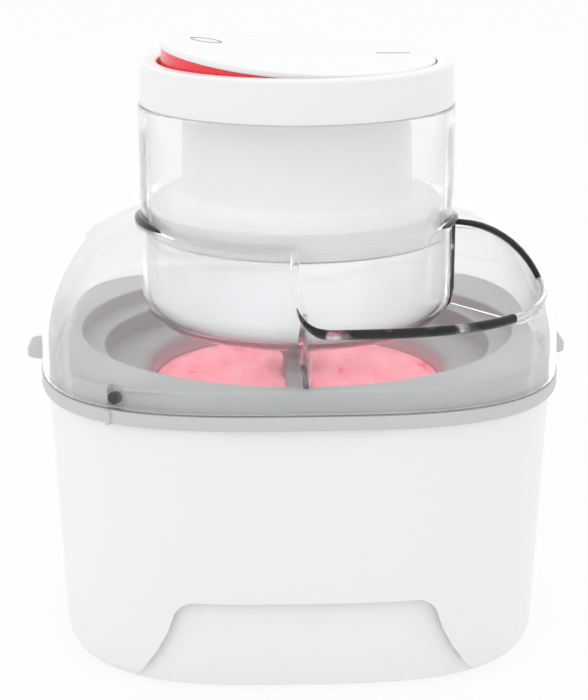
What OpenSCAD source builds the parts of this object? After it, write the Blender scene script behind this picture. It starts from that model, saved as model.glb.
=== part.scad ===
// Countertop ice cream maker: white base, removable freezer bowl, clear lid with an
// ingredient opening, and a lift-off motor unit that turns the paddle from above.
// Millimetres, +Z up. The origin is on the table, under the middle of the machine.
// The motor axis is the Z axis, and the front of the machine faces -Y.

/* [Base] */
// Width of the base at its top edge
base_w = 224.6; // [200:0.1:260]
// Depth of the base at its top edge
base_d = 219; // [195:0.1:255]
// How much narrower each side of the base is at the bottom
base_taper = 4.2; // [0:0.1:10]
// Height of the base's top edge above the table
base_top = 121.2; // [100:0.1:160]
// How square the plan is: 2 is an ellipse, more is squarer
plan_power = 3.2; // [2.4:0.1:5]
// Wall of the base
base_wall = 3; // [2:0.1:5]
// Radius of the rounded bottom edge
base_edge_r = 7; // [3:0.5:14]
// Height of the rubber feet below the base
foot_h = 1.5; // [0.5:0.1:4]
// Radius of a rubber foot
foot_r = 8; // [5:0.5:14]
// Distance of a foot's middle inside the base's side edge
foot_side_in = 38.3; // [30:0.1:60]
// Distance of a foot's middle inside the base's front edge
foot_front_in = 47.5; // [35:0.1:65]
// Thickness of the floor plate
floor_t = 2.5; // [2:0.1:4]

/* [Sunken arch in the base] */
// Width of the arch along its foot
arch_foot_w = 139; // [80:1:160]
// Width of the arch along its top
arch_top_w = 92; // [40:1:110]
// Height of the arch above the base's bottom edge
arch_h = 41; // [15:1:70]
// Radius of the arch's top corners
arch_r = 12; // [4:1:18]
// Depth of the arch at the base's top edge, if it ran so high
arch_in_top = 7; // [3:0.1:9]
// Depth of the arch at its foot
arch_in_foot = 2; // [1:0.1:3]

/* [Freezer bowl] */
// Height of the grey band that rests on the base
band_h = 6; // [4:0.5:12]
// How far the band stands out past the base
band_over = 3; // [1:0.1:6]
// Distance of the raised rim inside the base's side edge
rim_side_in = 4.3; // [2:0.1:15]
// Distance of the raised rim inside the base's front edge
rim_front_in = 5; // [2:0.1:15]
// How square the rim's plan is
rim_power = 3.9; // [2.4:0.1:6]
// Height of the rim's top above the band
rim_h = 8.8; // [6:0.1:16]
// Least width of the rim's top beside its round opening
rim_land = 5.3; // [3:0.1:14]
// Width of the first step
step1_width = 10.5; // [6:0.1:18]
// Drop from the rim's top to the first step
step1_drop = 8; // [4:0.1:12]
// Drop from the first step to the second
step2_drop = 10.5; // [6:0.1:14]
// Radius of the bowl inside
bowl_r = 66.8; // [55:0.1:72]
// Radius of the rolled edge between the second step and the bowl
roll_r = 6; // [3:0.5:8]
// Thickness of the moulded rim
rim_t = 3; // [2:0.1:4]
// Depth of the rim's plain lip below the second step
lip_h = 12; // [8:0.5:20]
// Reach of a finger tab past the band
ear_out = 8.6; // [4:0.1:14]
// Length of a finger tab
ear_len = 25; // [15:1:45]
// Distance of the insulated jacket inside the first step's edge
jacket_in = 4; // [2:0.1:8]
// Wall of the jacket
jacket_t = 2; // [1.5:0.1:3]
// Height of the jacket's underside above the table
jacket_z = 9.5; // [8:0.1:20]
// Wall of the aluminium liner
liner_t = 1.5; // [1:0.1:2.5]
// Thickness of the coolant under the liner
coolant_floor = 2.7; // [2:0.1:10]
// Radius of the pivot in the middle of the bowl
pivot_r = 4; // [3:0.1:6]
// Height of the pivot above the bowl's floor
pivot_h = 12; // [8:0.5:20]
// Radius of the jacket's filler plug
plug_r = 6; // [4:0.5:10]

/* [Lid] */
// Wall of the clear lid
lid_wall = 2.6; // [2:0.1:3.2]
// Height of the collar's top above the table
collar_top = 237.7; // [215:0.1:260]
// Height of the shoulder where collar and dome meet
shoulder_z = 186.5; // [175:0.1:200]
// Height of the lid's straight skirt above its bottom edge
skirt_h = 8.5; // [5:0.1:14]
// Flat width of the shoulder next to the collar
shoulder_flat = 4; // [1:0.5:8]
// Height of the opening's front lip above the table
opening_z = 160; // [150:0.5:172]
// Bearing of the opening's left edge
opening_left = -92.5; // [-120:0.5:-80]
// Bearing of the opening's right edge
opening_right = -11; // [-40:1:-5]
// Radius of the opening's lower left corner
opening_corner_r = 14; // [2:0.5:20]
// Thickness of the chute's side fin
fin_t = 2.4; // [1.8:0.1:4]
// Radius of the hole for the drive in the motor well
well_hole_r = 14; // [10:0.5:20]
// Radius of a lock pin on the lid's skirt
lock_r = 2.6; // [2:0.1:3]
// Bearing of the front lock pin
lock_bearing = 231; // [222:1:240]

/* [Motor unit] */
// Radius of the motor unit's lower body
body_r = 67; // [60:0.1:68]
// Height of the lower body's underside above the table
body_z = 142.5; // [138:0.1:150]
// Height of the seam between lower cover and housing
seam_z = 180; // [176:0.1:186]
// Height of the housing's flange top
flange_z = 193.5; // [188:0.1:205]
// Radius of the lower body's bottom edge
body_edge_r = 10; // [5:0.5:14]
// Distance of the neck's top inside the body's wall
neck_in = 15.6; // [11:0.1:20]
// How much wider the neck is at its foot
neck_flare = 1; // [0:0.1:3]
// Radius of the fillet at the neck's foot
neck_fillet = 6; // [3:0.5:10]
// Wall of the motor unit's mouldings
unit_wall = 2.5; // [2:0.1:3.5]
// Distance of the cap ring inside the collar's outer face
ring_in = 0.8; // [0:0.1:2]
// Height of the cap ring
ring_h = 18.6; // [14:0.1:26]
// Wall of the cap ring's band
ring_wall = 3; // [2:0.1:4]
// Radius of the cord's gland
gland_r = 5; // [4:0.1:6]

/* [Rocker switch] */
// Distance of the rocker's edge inside the cap ring's outer face
rocker_in = 9; // [8:0.1:16]
// Radial gap between rocker and ring
rocker_gap = 1.2; // [0.8:0.1:2]
// Height of the rocker's pivot above the ring's foot
rocker_pivot_h = 14; // [12:0.1:16]
// Tilt of the rocker each way from level
rocker_tilt = 4; // [2:0.1:5]
// Thickness of the rocker's white lip
rocker_lip = 3; // [2:0.1:4]
// How deep the rocker's top is hollowed along its length
rocker_dish = 2.9; // [0:0.1:4]
// Height of the rocker's middle above its pivot
rocker_mid_h = 6.4; // [5:0.1:9]
// Depth of the red skirt's foot below the pivot
skirt_drop = 4.5; // [3:0.1:5]
// Radius of the rocker's pivot pins
pin_r = 2; // [1.5:0.1:3]
// Distance of the switch plunger from the pivot
plunger_x = 30; // [20:1:40]

/* [Gear train] */
// Room between the gear train and the motor unit's wall
gear_room = 4.6; // [3:0.1:12]
// Teeth of the motor pinion
pinion_teeth = 12; // [10:1:14]
// Teeth of the compound gear's large wheel
wheel_teeth = 48; // [42:2:50]
// Teeth of the compound gear's small pinion
small_teeth = 14; // [12:2:16]
// Teeth of the output gear
output_teeth = 56; // [48:4:60]
// Bearing of the motor seen from the compound gear
motor_bearing = 40; // [30:1:50]
// Backlash of the gears
backlash = 0.16; // [0.08:0.02:0.3]
// Radius of the motor can
motor_r = 20; // [16:0.5:24]
// Height of the motor can
motor_h = 48; // [35:1:50]
// Radius of the output shaft
shaft_r = 4; // [3:0.1:5]
// Radius of the motor's own shaft
rotor_r = 1.6; // [1:0.1:2.5]
// Radius of the compound gear's axle
axle_r = 2.5; // [2:0.1:4]

/* [Paddle] */
// Radius of the paddle's post
post_r = 6.5; // [5:0.1:9]
// Width of the paddle's top arms
arm_w = 11; // [6:0.5:16]
// Height of the arms' top above the table
arm_top = 113; // [100:0.5:116]
// Gap between the paddle's blades and the bowl
blade_gap = 2.2; // [1:0.1:5]
// Thickness of the blades
blade_t = 4; // [3:0.1:6]
// Length of a slanted vane on the paddle's post
vane_len = 36; // [20:1:48]
// Height of a vane along its slope
vane_h = 30; // [15:1:50]
// Lean of a vane
vane_lean = 35; // [10:1:50]
// Radius of the paddle's drive socket
socket_r = 10.5; // [8:0.5:12]

/* [Fits] */
// Gap between faces that rest on each other
seat_gap = 0.3; // [0.2:0.05:0.5]
// Radial clearance of a running shaft
run_gap = 0.05; // [0.02:0.01:0.1]
// Clearance between mouldings of one unit
fit_gap = 0.2; // [0.1:0.05:0.4]
// Gap at the seam of the motor unit
seam_gap = 0.4; // [0.2:0.05:0.8]
// Gap between the motor body and the lid's well
well_gap = 1.2; // [0.8:0.1:2]

/* [Hidden] */

plan_n = 80;      // points round a squarish outline
fine = 96;        // facets of a round piece
edge_steps = 5;   // steps round the base's rounded foot
screw_r = 1.5;    // all screws are the same small size
screw_head_r = 2.8;
screw_head_h = 1.8;
screw_gap = 0.1;  // a screw's radial clearance in a drilled plate
screw_len = 12;
base_screw_len = 14;
motor_screw_len = 8;
boss_wall = 2.6;
boss_side_in = 22.3;   // place of a base boss inside the base's side edge
boss_front_in = 69.5;  // and inside its front edge
tooth_top = 0.9;       // a tooth's height above the pitch circle, in modules
tooth_root = 1.15;     // and its depth below, in modules

// How far the hole in the foot lies inside the base's outline, clear of the rounded cavity
foot_hole_in = base_taper + base_edge_r + base_wall + 1;

// Stack of heights, each from the one below it
band_z = base_top + seat_gap;
band_top = band_z + band_h;
rim_top = band_top + rim_h;
step1_z = rim_top - step1_drop;
step2_z = step1_z - step2_drop;
liner_top = step2_z - lip_h;
liner_floor = jacket_z + jacket_t + coolant_floor + liner_t + 2 * fit_gap;
skirt_z = band_top + seat_gap;
skirt_top = skirt_z + skirt_h;
ring_z = collar_top + seat_gap;
ring_top = ring_z + ring_h;
pivot_z = ring_z + rocker_pivot_h;
tray_z = ring_z + 2.8;
tray_t = 2;
well_floor_top = body_z - 0.8;

// Half widths of the nested outlines
base_a = base_w / 2;
base_b = base_d / 2;
band_a = base_a + band_over;
band_b = base_b + band_over;
rim_a = base_a - rim_side_in;
rim_b = base_b - rim_front_in;
rim_hole_r = min(rim_a, rim_b) - rim_land;
step1_r = rim_hole_r - step1_width;
jacket_r = step1_r - jacket_in;
well_r = body_r + well_gap;
collar_r = well_r + lid_wall;
neck_r = body_r - neck_in;
ring_r = collar_r - ring_in;
rocker_r = ring_r - rocker_in;
foot_x = base_a - foot_side_in;
foot_y = base_b - foot_front_in;

// Gear places and heights; the module lets the gear train fill the motor unit
gear_span = (output_teeth + small_teeth + wheel_teeth) / 2 + tooth_top;
gear_m = (body_r - unit_wall - gear_room) / gear_span;
out_rp = gear_m * output_teeth / 2;
wheel_x = -gear_m * (output_teeth + small_teeth) / 2;
motor_dist = gear_m * (wheel_teeth + pinion_teeth) / 2;
motor_x = wheel_x + motor_dist * cos(motor_bearing);
motor_y = motor_dist * sin(motor_bearing);
cover_floor = body_z + unit_wall;
out_gear_z = cover_floor + 8;
out_gear_t = 8;
wheel_z = out_gear_z + out_gear_t + 2;
wheel_t = 6;
plate_z = seam_z - 4;
plate_t = 3;
plate_r = body_r - unit_wall - 1;
tube_r = screw_r + boss_wall;
tube_ring = plate_r - tube_r - 3;
tube_bearings = [45, 135, 225, 315];
post_bearings = [0, 90, 270];
gear_alpha = 25;

// Outline helpers
function arc(cx, cy, r, a0, a1, n = 8) =
  [for (i = [0 : n]) [cx + r * cos(a0 + (a1 - a0) * i / n), cy + r * sin(a0 + (a1 - a0) * i / n)]];
function plan_r(t, a, b, p) = pow(pow(abs(cos(t) / a), p) + pow(abs(sin(t) / b), p), -1 / p);
function plan(a, b, p, n = plan_n) =
  [for (i = [0 : n - 1]) let (t = 360 * i / n) plan_r(t, a, b, p) * [cos(t), sin(t)]];
function mix(a, b, f) = a + (b - a) * f;

// A closed skin through outlines of equal point count; rings = [[z, outline], ...], rising
module loft(rings) {
  n = len(rings[0][1]);
  m = len(rings);
  points = [for (r = rings) for (p = r[1]) [p[0], p[1], r[0]]];
  sides = [
    for (k = [0 : m - 2]) for (i = [0 : n - 1])
      let (j = (i + 1) % n, lo = k * n, hi = lo + n)
        each [[lo + i, hi + i, hi + j], [lo + i, hi + j, lo + j]]
  ];
  bottom = [[for (i = [0 : n - 1]) i]];
  top = [[for (i = [n - 1 : -1 : 0]) (m - 1) * n + i]];
  polyhedron(points = points, faces = concat(sides, bottom, top), convexity = 6);
}

// ---------- Base ----------
// The base's outer form, drawn inwards by in_top at the top edge and in_foot at the foot
module base_form(in_top, in_foot, z0, z1) {
  turns = [for (i = [0 : edge_steps]) 90 * i / edge_steps];
  rings = [
    for (t = turns)
      let (rise = base_edge_r * (1 - cos(t)),
           f = (z0 + rise - foot_h) / (base_top - foot_h),
           lean = base_taper * (1 - f) + mix(in_foot, in_top, f) + base_edge_r * (1 - sin(t)))
        [z0 + rise, plan(base_a - lean, base_b - lean, plan_power)]
  ];
  loft(concat(rings, [[z1, plan(base_a - in_top, base_b - in_top, plan_power)]]));
}

// The arch, standing through the base from front to back, grown by a wall's thickness
module arch_prism(grow) {
  top_half = arch_top_w / 2 + grow - arch_r;
  foot_half = arch_foot_w / 2 + grow;
  rotate([90, 0, 0])
    hull() {
      for (s = [-1, 1])
        translate([s * top_half, foot_h + arch_h + grow - arch_r, 0])
          cylinder(r = arch_r, h = 2 * base_d, center = true, $fn = 32);
      translate([-foot_half, foot_h - 5, -base_d]) cube([2 * foot_half, 1, 2 * base_d]);
    }
}

// Ring-shaped cutter that sinks the arch by a depth that fades towards the foot
module arch_cutter(grow, extra) {
  difference() {
    arch_prism(grow);
    base_form(arch_in_top + extra, arch_in_foot + extra, foot_h - 8, base_top + 1);
  }
}

module base_boss_places() {
  for (sx = [-1, 1]) for (sy = [-1, 1])
    translate([sx * (base_a - boss_side_in), sy * (base_b - boss_front_in), 0])
      mirror([sx < 0 ? 1 : 0, 0, 0]) children();
}

// Screw boss with a flared foot, tied to the side wall by a web
module base_boss(z0, h) {
  hull() {
    translate([0, 0, z0 + 3]) cylinder(r = tube_r + 0.6, h = h - 3, $fn = 32);
    translate([0, 0, z0]) cylinder(r = tube_r + 1, h = 1, $fn = 32);
  }
  hull()
    for (x = [0, 20])
      translate([x, 0, z0]) cylinder(r = 1.2, h = h - 2, $fn = 24);
}

module base_shell() {
  boss_z = foot_h + 2 + floor_t + fit_gap;
  color("white")
    union() {
      difference() {
        base_form(0, 0, foot_h, base_top);
        difference() {
          base_form(base_wall, base_wall, foot_h + 1, base_top + 1);
          arch_cutter(base_wall, base_wall);
        }
        arch_cutter(0, 0);
        // open foot, closed by the floor plate
        translate([0, 0, foot_h - 1])
          linear_extrude(height = floor_t + 3 + fit_gap)
            polygon(plan(base_a - foot_hole_in, base_b - foot_hole_in, plan_power));
      }
      difference() {
        intersection() {
          base_boss_places() base_boss(boss_z, 18);
          base_form(0.5, 0.5, foot_h, base_top);
        }
        base_boss_places()
          translate([0, 0, boss_z - 1]) cylinder(r = screw_r, h = 14, $fn = 24);
      }
    }
}

module base_floor() {
  color("gainsboro")
    difference() {
      translate([0, 0, foot_h + 2])
        linear_extrude(height = floor_t)
          polygon(plan(base_a - foot_hole_in - fit_gap, base_b - foot_hole_in - fit_gap, plan_power));
      base_boss_places()
        translate([0, 0, foot_h]) cylinder(r = screw_r + screw_gap, h = floor_t + 4, $fn = 24);
      foot_places()
        translate([0, 0, foot_h]) cylinder(r = foot_r - 3, h = floor_t + 4, $fn = 32);
    }
}

module foot_places() {
  for (sx = [-1, 1]) for (sy = [-1, 1])
    translate([sx * foot_x, sy * foot_y, 0]) children();
}

module rubber_feet() {
  color("dimgray")
    foot_places() {
      cylinder(r = foot_r, h = foot_h + 2 - 0.02, $fn = 48);
      cylinder(r = foot_r - 3 - run_gap, h = foot_h + 2 + floor_t, $fn = 32);
    }
}

module base_screws() {
  color("silver")
    base_boss_places() {
      translate([0, 0, foot_h + 2 - screw_head_h])
        cylinder(r = screw_head_r, h = screw_head_h - 0.02, $fn = 24);
      translate([0, 0, foot_h + 2 - screw_head_h])
        cylinder(r = screw_r - run_gap, h = base_screw_len, $fn = 24);
    }
}

// ---------- Freezer bowl ----------
// Steps, rolled edge and lip as one revolved section
module bowl_steps() {
  t = rim_t;
  section = concat(
    [[rim_hole_r + t, rim_top], [rim_hole_r + 1, rim_top]],
    arc(rim_hole_r + 1, rim_top - 1, 1, 90, 180, 4),
    [[rim_hole_r, step1_z]],
    arc(step1_r + 0.8, step1_z - 0.8, 0.8, 90, 180, 4),
    [[step1_r, step2_z]],
    arc(bowl_r + roll_r, step2_z - roll_r, roll_r, 90, 180, 8),
    [[bowl_r, liner_top + fit_gap], [bowl_r + t, liner_top + fit_gap]],
    arc(bowl_r + roll_r, step2_z - roll_r, roll_r - t, 180, 90, 5),
    [[step1_r + t, step2_z - t], [step1_r + t, step1_z - t], [rim_hole_r + t, step1_z - t]]
  );
  rotate_extrude($fn = fine) polygon(section);
}

module lock_groove(z, r_in) {
  // entry slot and a level run, cut at one radius so it fades out along the flat side
  half = lock_r + lock_gap;
  rotate([0, 0, lock_bearing])
    translate([r_in, -half, z - half])
      cube([band_a - r_in / 2, 2 * half, rim_h + band_h]);
  rotate([0, 0, lock_bearing])
    rotate_extrude(angle = lock_turn, $fn = fine)
      translate([r_in, z - half])
        square([band_a - r_in / 2, 2 * half]);
}

module finger_tabs() {
  chamfer = 5;
  for (s = [0, 180])
    rotate([0, 0, s])
      translate([0, 0, band_z + 0.4])
        linear_extrude(height = band_h - 0.8)
          polygon([
            [band_a - 6, -ear_len / 2 - 3], [band_a, -ear_len / 2],
            [band_a + ear_out - chamfer / 2, -ear_len / 2 + chamfer / 2],
            [band_a + ear_out, -ear_len / 2 + chamfer],
            [band_a + ear_out, ear_len / 2 - chamfer],
            [band_a + ear_out - chamfer / 2, ear_len / 2 - chamfer / 2],
            [band_a, ear_len / 2], [band_a - 6, ear_len / 2 + 3]
          ]);
}

module bowl_rim() {
  pocket_in = 3;
  color("silver")
    difference() {
      union() {
        difference() {
          union() {
            translate([0, 0, band_z])
              linear_extrude(height = band_h) polygon(plan(band_a, band_b, plan_power));
            translate([0, 0, band_top - 1])
              linear_extrude(height = rim_h) polygon(plan(rim_a, rim_b, rim_power));
            translate([0, 0, rim_top - 1])
              linear_extrude(height = 1) polygon(plan(rim_a - 0.9, rim_b - 0.9, rim_power));
          }
          // hollow under the rim, open downwards
          translate([0, 0, band_z - 1])
            linear_extrude(height = rim_h + band_h + 1 - rim_t)
              polygon(plan(rim_a - pocket_in, rim_b - pocket_in, rim_power));
          translate([0, 0, band_z - 1]) cylinder(r = rim_hole_r + 1.2, h = 40, $fn = fine);
        }
        bowl_steps();
        finger_tabs();
      }
      for (s = [0, 180]) rotate([0, 0, s]) lock_groove(lock_z(), lock_seat_r());
    }
}

// The lock pins lie half way up the rim, in grooves that leave a thin web behind them
lock_gap = 0.9;
lock_turn = 11;
function lock_z() = band_top + 0.45 * rim_h;
function lock_seat_r() = plan_r(lock_bearing, rim_a, rim_b, rim_power) - 2;

bowl_corner_r = 6;
jacket_corner_r = 8;

module bowl_liner() {
  color("lightgray")
    union() {
      rotate_extrude($fn = fine)
        polygon(concat(
          [[0, liner_floor - liner_t], [bowl_r - bowl_corner_r, liner_floor - liner_t]],
          arc(bowl_r - bowl_corner_r, liner_floor + bowl_corner_r, bowl_corner_r + liner_t, -90, 0, 6),
          [[bowl_r + liner_t, liner_top - liner_t], [jacket_r - jacket_t - fit_gap, liner_top - liner_t]],
          [[jacket_r - jacket_t - fit_gap, liner_top], [bowl_r, liner_top]],
          arc(bowl_r - bowl_corner_r, liner_floor + bowl_corner_r, bowl_corner_r, 0, -90, 6),
          [[0, liner_floor]]
        ));
      translate([0, 0, liner_floor - 0.5]) cylinder(r = pivot_r, h = pivot_h + 0.5, $fn = 48);
    }
}

module bowl_jacket() {
  corner = jacket_corner_r;
  color("white")
    difference() {
      rotate_extrude($fn = fine)
        polygon(concat(
          [[0, jacket_z]],
          arc(jacket_r - corner, jacket_z + corner, corner, -90, 0, 6),
          [[jacket_r, step2_z - rim_t - fit_gap], [jacket_r - jacket_t, step2_z - rim_t - fit_gap]],
          arc(jacket_r - corner, jacket_z + corner, corner - jacket_t, 0, -90, 6),
          [[0, jacket_z + jacket_t]]
        ));
      translate([jacket_r / 2, 0, jacket_z - 1]) cylinder(r = plug_r, h = jacket_t + 2, $fn = 32);
    }
}

// The sealed liquid takes the cup-shaped space between liner and jacket
module coolant_gel() {
  g = fit_gap;
  corner = jacket_corner_r;
  in_r = bowl_r + liner_t + g;
  out_r = jacket_r - jacket_t - g;
  low = jacket_z + jacket_t + g;
  color("lightblue")
    difference() {
      rotate_extrude($fn = fine)
        polygon(concat(
          [[0, low]],
          arc(out_r - corner + jacket_t, low + corner - jacket_t, corner - jacket_t, -90, 0, 6),
          [[out_r, liner_top - liner_t - g], [in_r, liner_top - liner_t - g]],
          arc(bowl_r - bowl_corner_r, liner_floor + bowl_corner_r, bowl_corner_r + liner_t + g, 0, -90, 6),
          [[0, liner_floor - liner_t - g]]
        ));
      translate([jacket_r / 2, 0, low - 1]) cylinder(r = plug_r + 1, h = 2.2, $fn = 32);
    }
}

module filler_plug() {
  color("gray")
    translate([jacket_r / 2, 0, 0]) {
      translate([0, 0, jacket_z - 1.2]) cylinder(r = plug_r + 1.5, h = 1.18, $fn = 40);
      translate([0, 0, jacket_z - 1.2]) cylinder(r = plug_r - run_gap, h = jacket_t + 1.2, $fn = 40);
    }
}

// ---------- Paddle ----------
blade_r = bowl_r - blade_gap;
hub_z = liner_floor + seat_gap;
socket_z = body_z - 15;
socket_top = body_z - 4.3;

module paddle_wing(low_z) {
  // flat top arm
  translate([-arm_w / 2, post_r - 2, arm_top - 7]) cube([arm_w, blade_r - post_r - 4, 7]);
  // upright blade at the wall and slanted scraper blade
  translate([-blade_t / 2, blade_r - 14, low_z]) cube([blade_t, 12, arm_top - 1 - low_z]);
  // bottom arm that sweeps the floor
  translate([-blade_t / 2, post_r - 2, low_z]) cube([blade_t, blade_r - post_r - 6, 12]);
}

module paddle() {
  scoop_low = hub_z + 0.8;
  color("gray")
    difference() {
      union() {
        translate([0, 0, hub_z]) cylinder(r = post_r, h = socket_z - hub_z, $fn = 48);
        rotate_extrude($fn = 64)
          polygon([
            [0, socket_z - 8], [post_r, socket_z - 8], [socket_r, socket_z - 2],
            [socket_r, socket_top - 0.8], [socket_r - 0.8, socket_top], [0, socket_top]
          ]);
        paddle_wing(scoop_low);
        rotate([0, 0, 180]) paddle_wing(scoop_low);
        // two slanted vanes that turn the mix over
        for (s = [0, 180])
          rotate([0, 0, s])
            translate([0, post_r - 1 + vane_len / 2, hub_z + 40])
              rotate([0, vane_lean, 0])
                cube([blade_t, vane_len, vane_h], center = true);
      }
      translate([0, 0, hub_z - 1]) cylinder(r = pivot_r + run_gap, h = pivot_h + 2, $fn = 48);
      // hexagonal drive socket
      translate([0, 0, socket_z])
        cylinder(r = shaft_r, h = socket_top - socket_z + 1, $fn = 6);
    }
}

// ---------- Clear lid ----------
lid_a = band_a - 0.4;
lid_b = band_b - 0.4;
dome_steps = 9;

function dome_ring(k, in) =
  let (t = 90 * k / dome_steps,
       fa = (shoulder_flat + (lid_a - collar_r - shoulder_flat) * sin(t)),
       fb = (shoulder_flat + (lid_b - collar_r - shoulder_flat) * sin(t)),
       p = mix(2, plan_power, sin(t)))
    [skirt_top + (shoulder_z - in - skirt_top) * cos(t),
     plan(collar_r + fa - in, collar_r + fb - in, p)];

module dome_form(in, low) {
  loft(concat(
    [[low, plan(lid_a - in, lid_b - in, plan_power)]],
    [for (k = [dome_steps : -1 : 0]) dome_ring(k, in)],
    [[shoulder_z - in + 0.01, plan(collar_r - 1, collar_r - 1, 2)]]
  ));
}

function sector(r, a0, a1, n = 12) = concat([[0, 0]], arc(0, 0, r, a0, a1, n));

// Collar on top, well round the motor body below: one revolved wall
module collar_and_well() {
  w = lid_wall;
  e = body_edge_r + well_gap;
  rotate_extrude($fn = fine)
    polygon(concat(
      [[well_hole_r, well_floor_top - w]],
      arc(well_r - e, well_floor_top + e, e + w, -90, 0, 8),
      [[collar_r, collar_top - 6], [collar_r - 0.6, collar_top - 0.6], [collar_r - 1, collar_top]],
      [[well_r + 0.2, collar_top], [well_r, collar_top - 0.4]],
      arc(well_r - e, well_floor_top + e, e, 0, -90, 8),
      [[well_hole_r, well_floor_top]]
    ));
}

// Fin beside the opening, stepped over the bowl's rim below it
module chute_fin() {
  gap = 2.2;
  outline = [
    [well_r + 1, shoulder_z - 1], [well_r + 1, step2_z + gap + 1], [step1_r - gap - 1, step2_z + gap],
    [step1_r - gap - 1, step1_z + gap], [rim_hole_r - gap - 1, step1_z + gap],
    [rim_hole_r - gap - 1, rim_top + gap], [lid_b + 5, rim_top + gap], [lid_b + 5, shoulder_z - 1]
  ];
  intersection() {
    rotate([0, 0, opening_left - 90])
      rotate([90, 0, 0])
        rotate([0, 90, 0])
          translate([0, 0, -fin_t])
            linear_extrude(height = fin_t)
              polygon(outline);
    dome_form(0.5, step2_z - 5);
  }
}

// Everything over the front lip between the two side planes, with a rounded lower left corner
module opening_cutter() {
  reach = lid_a + lid_b;
  r = opening_corner_r;
  difference() {
    translate([0, 0, opening_z])
      linear_extrude(height = collar_top)
        polygon(sector(reach, opening_left, opening_right));
    rotate([0, 0, opening_left])
      difference() {
        translate([0, -1, opening_z - 1]) cube([reach, r + 1, r + 1]);
        translate([-1, r, opening_z + r]) rotate([0, 90, 0]) cylinder(r = r, h = reach + 2, $fn = 48);
      }
  }
}

module lock_pin() {
  seat = lock_seat_r();
  wall_r = plan_r(lock_bearing, lid_a, lid_b, plan_power);
  rotate([0, 0, lock_bearing])
    translate([seat + 0.5, 0, lock_z()])
      rotate([0, 90, 0])
        cylinder(r = lock_r, h = wall_r - seat - 1.5, $fn = 32);
}

module clear_lid() {
  color([0.85, 0.9, 0.93, 0.4]) {
    difference() {
      dome_form(0, skirt_z);
      dome_form(lid_wall, skirt_z - 1);
      translate([0, 0, skirt_z - 1]) cylinder(r = collar_r - 0.8, h = shoulder_z, $fn = fine);
      opening_cutter();
    }
    collar_and_well();
    chute_fin();
    lock_pin();
    rotate([0, 0, 180]) lock_pin();
  }
}

// ---------- Motor unit ----------
module housing_posts() {
  for (b = post_bearings)
    rotate([0, 0, b]) translate([tube_ring, 0, 0]) children();
}

module tube_places() {
  for (b = tube_bearings)
    rotate([0, 0, b]) translate([tube_ring, 0, 0]) children();
}

module motor_housing() {
  w = unit_wall;
  foot_r = neck_r + neck_flare;
  f = neck_fillet;
  edge = 2;
  top_r = ring_r - ring_wall - fit_gap;
  top_z = ring_z + fit_gap;
  top_t = 2.2;
  color("white") {
    rotate_extrude($fn = fine)
      polygon(concat(
        [[body_r, seam_z + seam_gap / 2]],
        arc(body_r - edge, flange_z - edge, edge, 0, 90, 5),
        arc(foot_r + f, flange_z + f, f, -90, -180, 6),
        [[neck_r, top_z], [top_r, top_z], [top_r, top_z + top_t]],
        [[neck_r - w, top_z + top_t]],
        [[foot_r - w, flange_z + f], [foot_r - w, flange_z - w]],
        [[body_r - w - edge, flange_z - w], [body_r - w, flange_z - w - edge]],
        [[body_r - w, seam_z + seam_gap / 2]]
      ));
    difference() {
      housing_posts()
        translate([0, 0, plate_z + plate_t + fit_gap])
          cylinder(r = tube_r, h = flange_z - w - plate_z - plate_t - fit_gap + 0.5, $fn = 32);
      housing_posts()
        translate([0, 0, plate_z]) cylinder(r = screw_r, h = 11, $fn = 24);
    }
  }
}

module motor_lower_cover() {
  w = unit_wall;
  e = body_edge_r;
  bush_r = shaft_r + 2;
  color("white")
    difference() {
      union() {
        rotate_extrude($fn = fine)
          polygon(concat(
            [[0, body_z]],
            arc(body_r - e, body_z + e, e, -90, 0, 8),
            [[body_r, seam_z - seam_gap / 2], [body_r - w, seam_z - seam_gap / 2]],
            arc(body_r - e, body_z + e, e - w, 0, -90, 8),
            [[0, cover_floor]]
          ));
        tube_places()
          translate([0, 0, cover_floor - 0.5])
            cylinder(r = tube_r, h = plate_z - cover_floor + 0.3, $fn = 32);
        translate([0, 0, cover_floor - 0.5]) cylinder(r = bush_r + 3, h = 6.5, $fn = 48);
        translate([wheel_x, 0, cover_floor - 0.5]) cylinder(r = axle_r + 2.5, h = 5.5, $fn = 32);
      }
      translate([0, 0, body_z - 1]) cylinder(r = bush_r, h = 12, $fn = 48);
      translate([wheel_x, 0, cover_floor]) cylinder(r = axle_r, h = 8, $fn = 32);
      tube_places()
        translate([0, 0, plate_z - 12]) cylinder(r = screw_r, h = 14, $fn = 24);
    }
}

module output_bush() {
  bush_r = shaft_r + 2 - 0.02;
  color("goldenrod")
    difference() {
      union() {
        translate([0, 0, body_z - 0.6]) cylinder(r = bush_r, h = 9.2, $fn = 48);
        translate([0, 0, body_z - 1.2]) cylinder(r = bush_r + 1.5, h = 1.18, $fn = 48);
      }
      translate([0, 0, body_z - 2]) cylinder(r = shaft_r + run_gap, h = 14, $fn = 48);
    }
}

module plate_hole(r) {
  translate([0, 0, plate_z - 1]) cylinder(r = r, h = plate_t + 2, $fn = 48);
}

module gear_plate() {
  color("lightsteelblue")
    difference() {
      translate([0, 0, plate_z]) cylinder(r = plate_r, h = plate_t, $fn = fine);
      tube_places() plate_hole(screw_r + screw_gap);
      housing_posts() plate_hole(screw_r + screw_gap);
      plate_hole(shaft_r + run_gap);
      translate([wheel_x, 0, 0]) plate_hole(axle_r);
      translate([motor_x, motor_y, 0]) plate_hole(6);
      motor_screw_places() plate_hole(screw_r + screw_gap);
    }
}

module motor_screw_places() {
  for (s = [-1, 1])
    translate([motor_x, motor_y, 0]) rotate([0, 0, 55]) translate([s * 12, 0, 0]) children();
}

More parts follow.
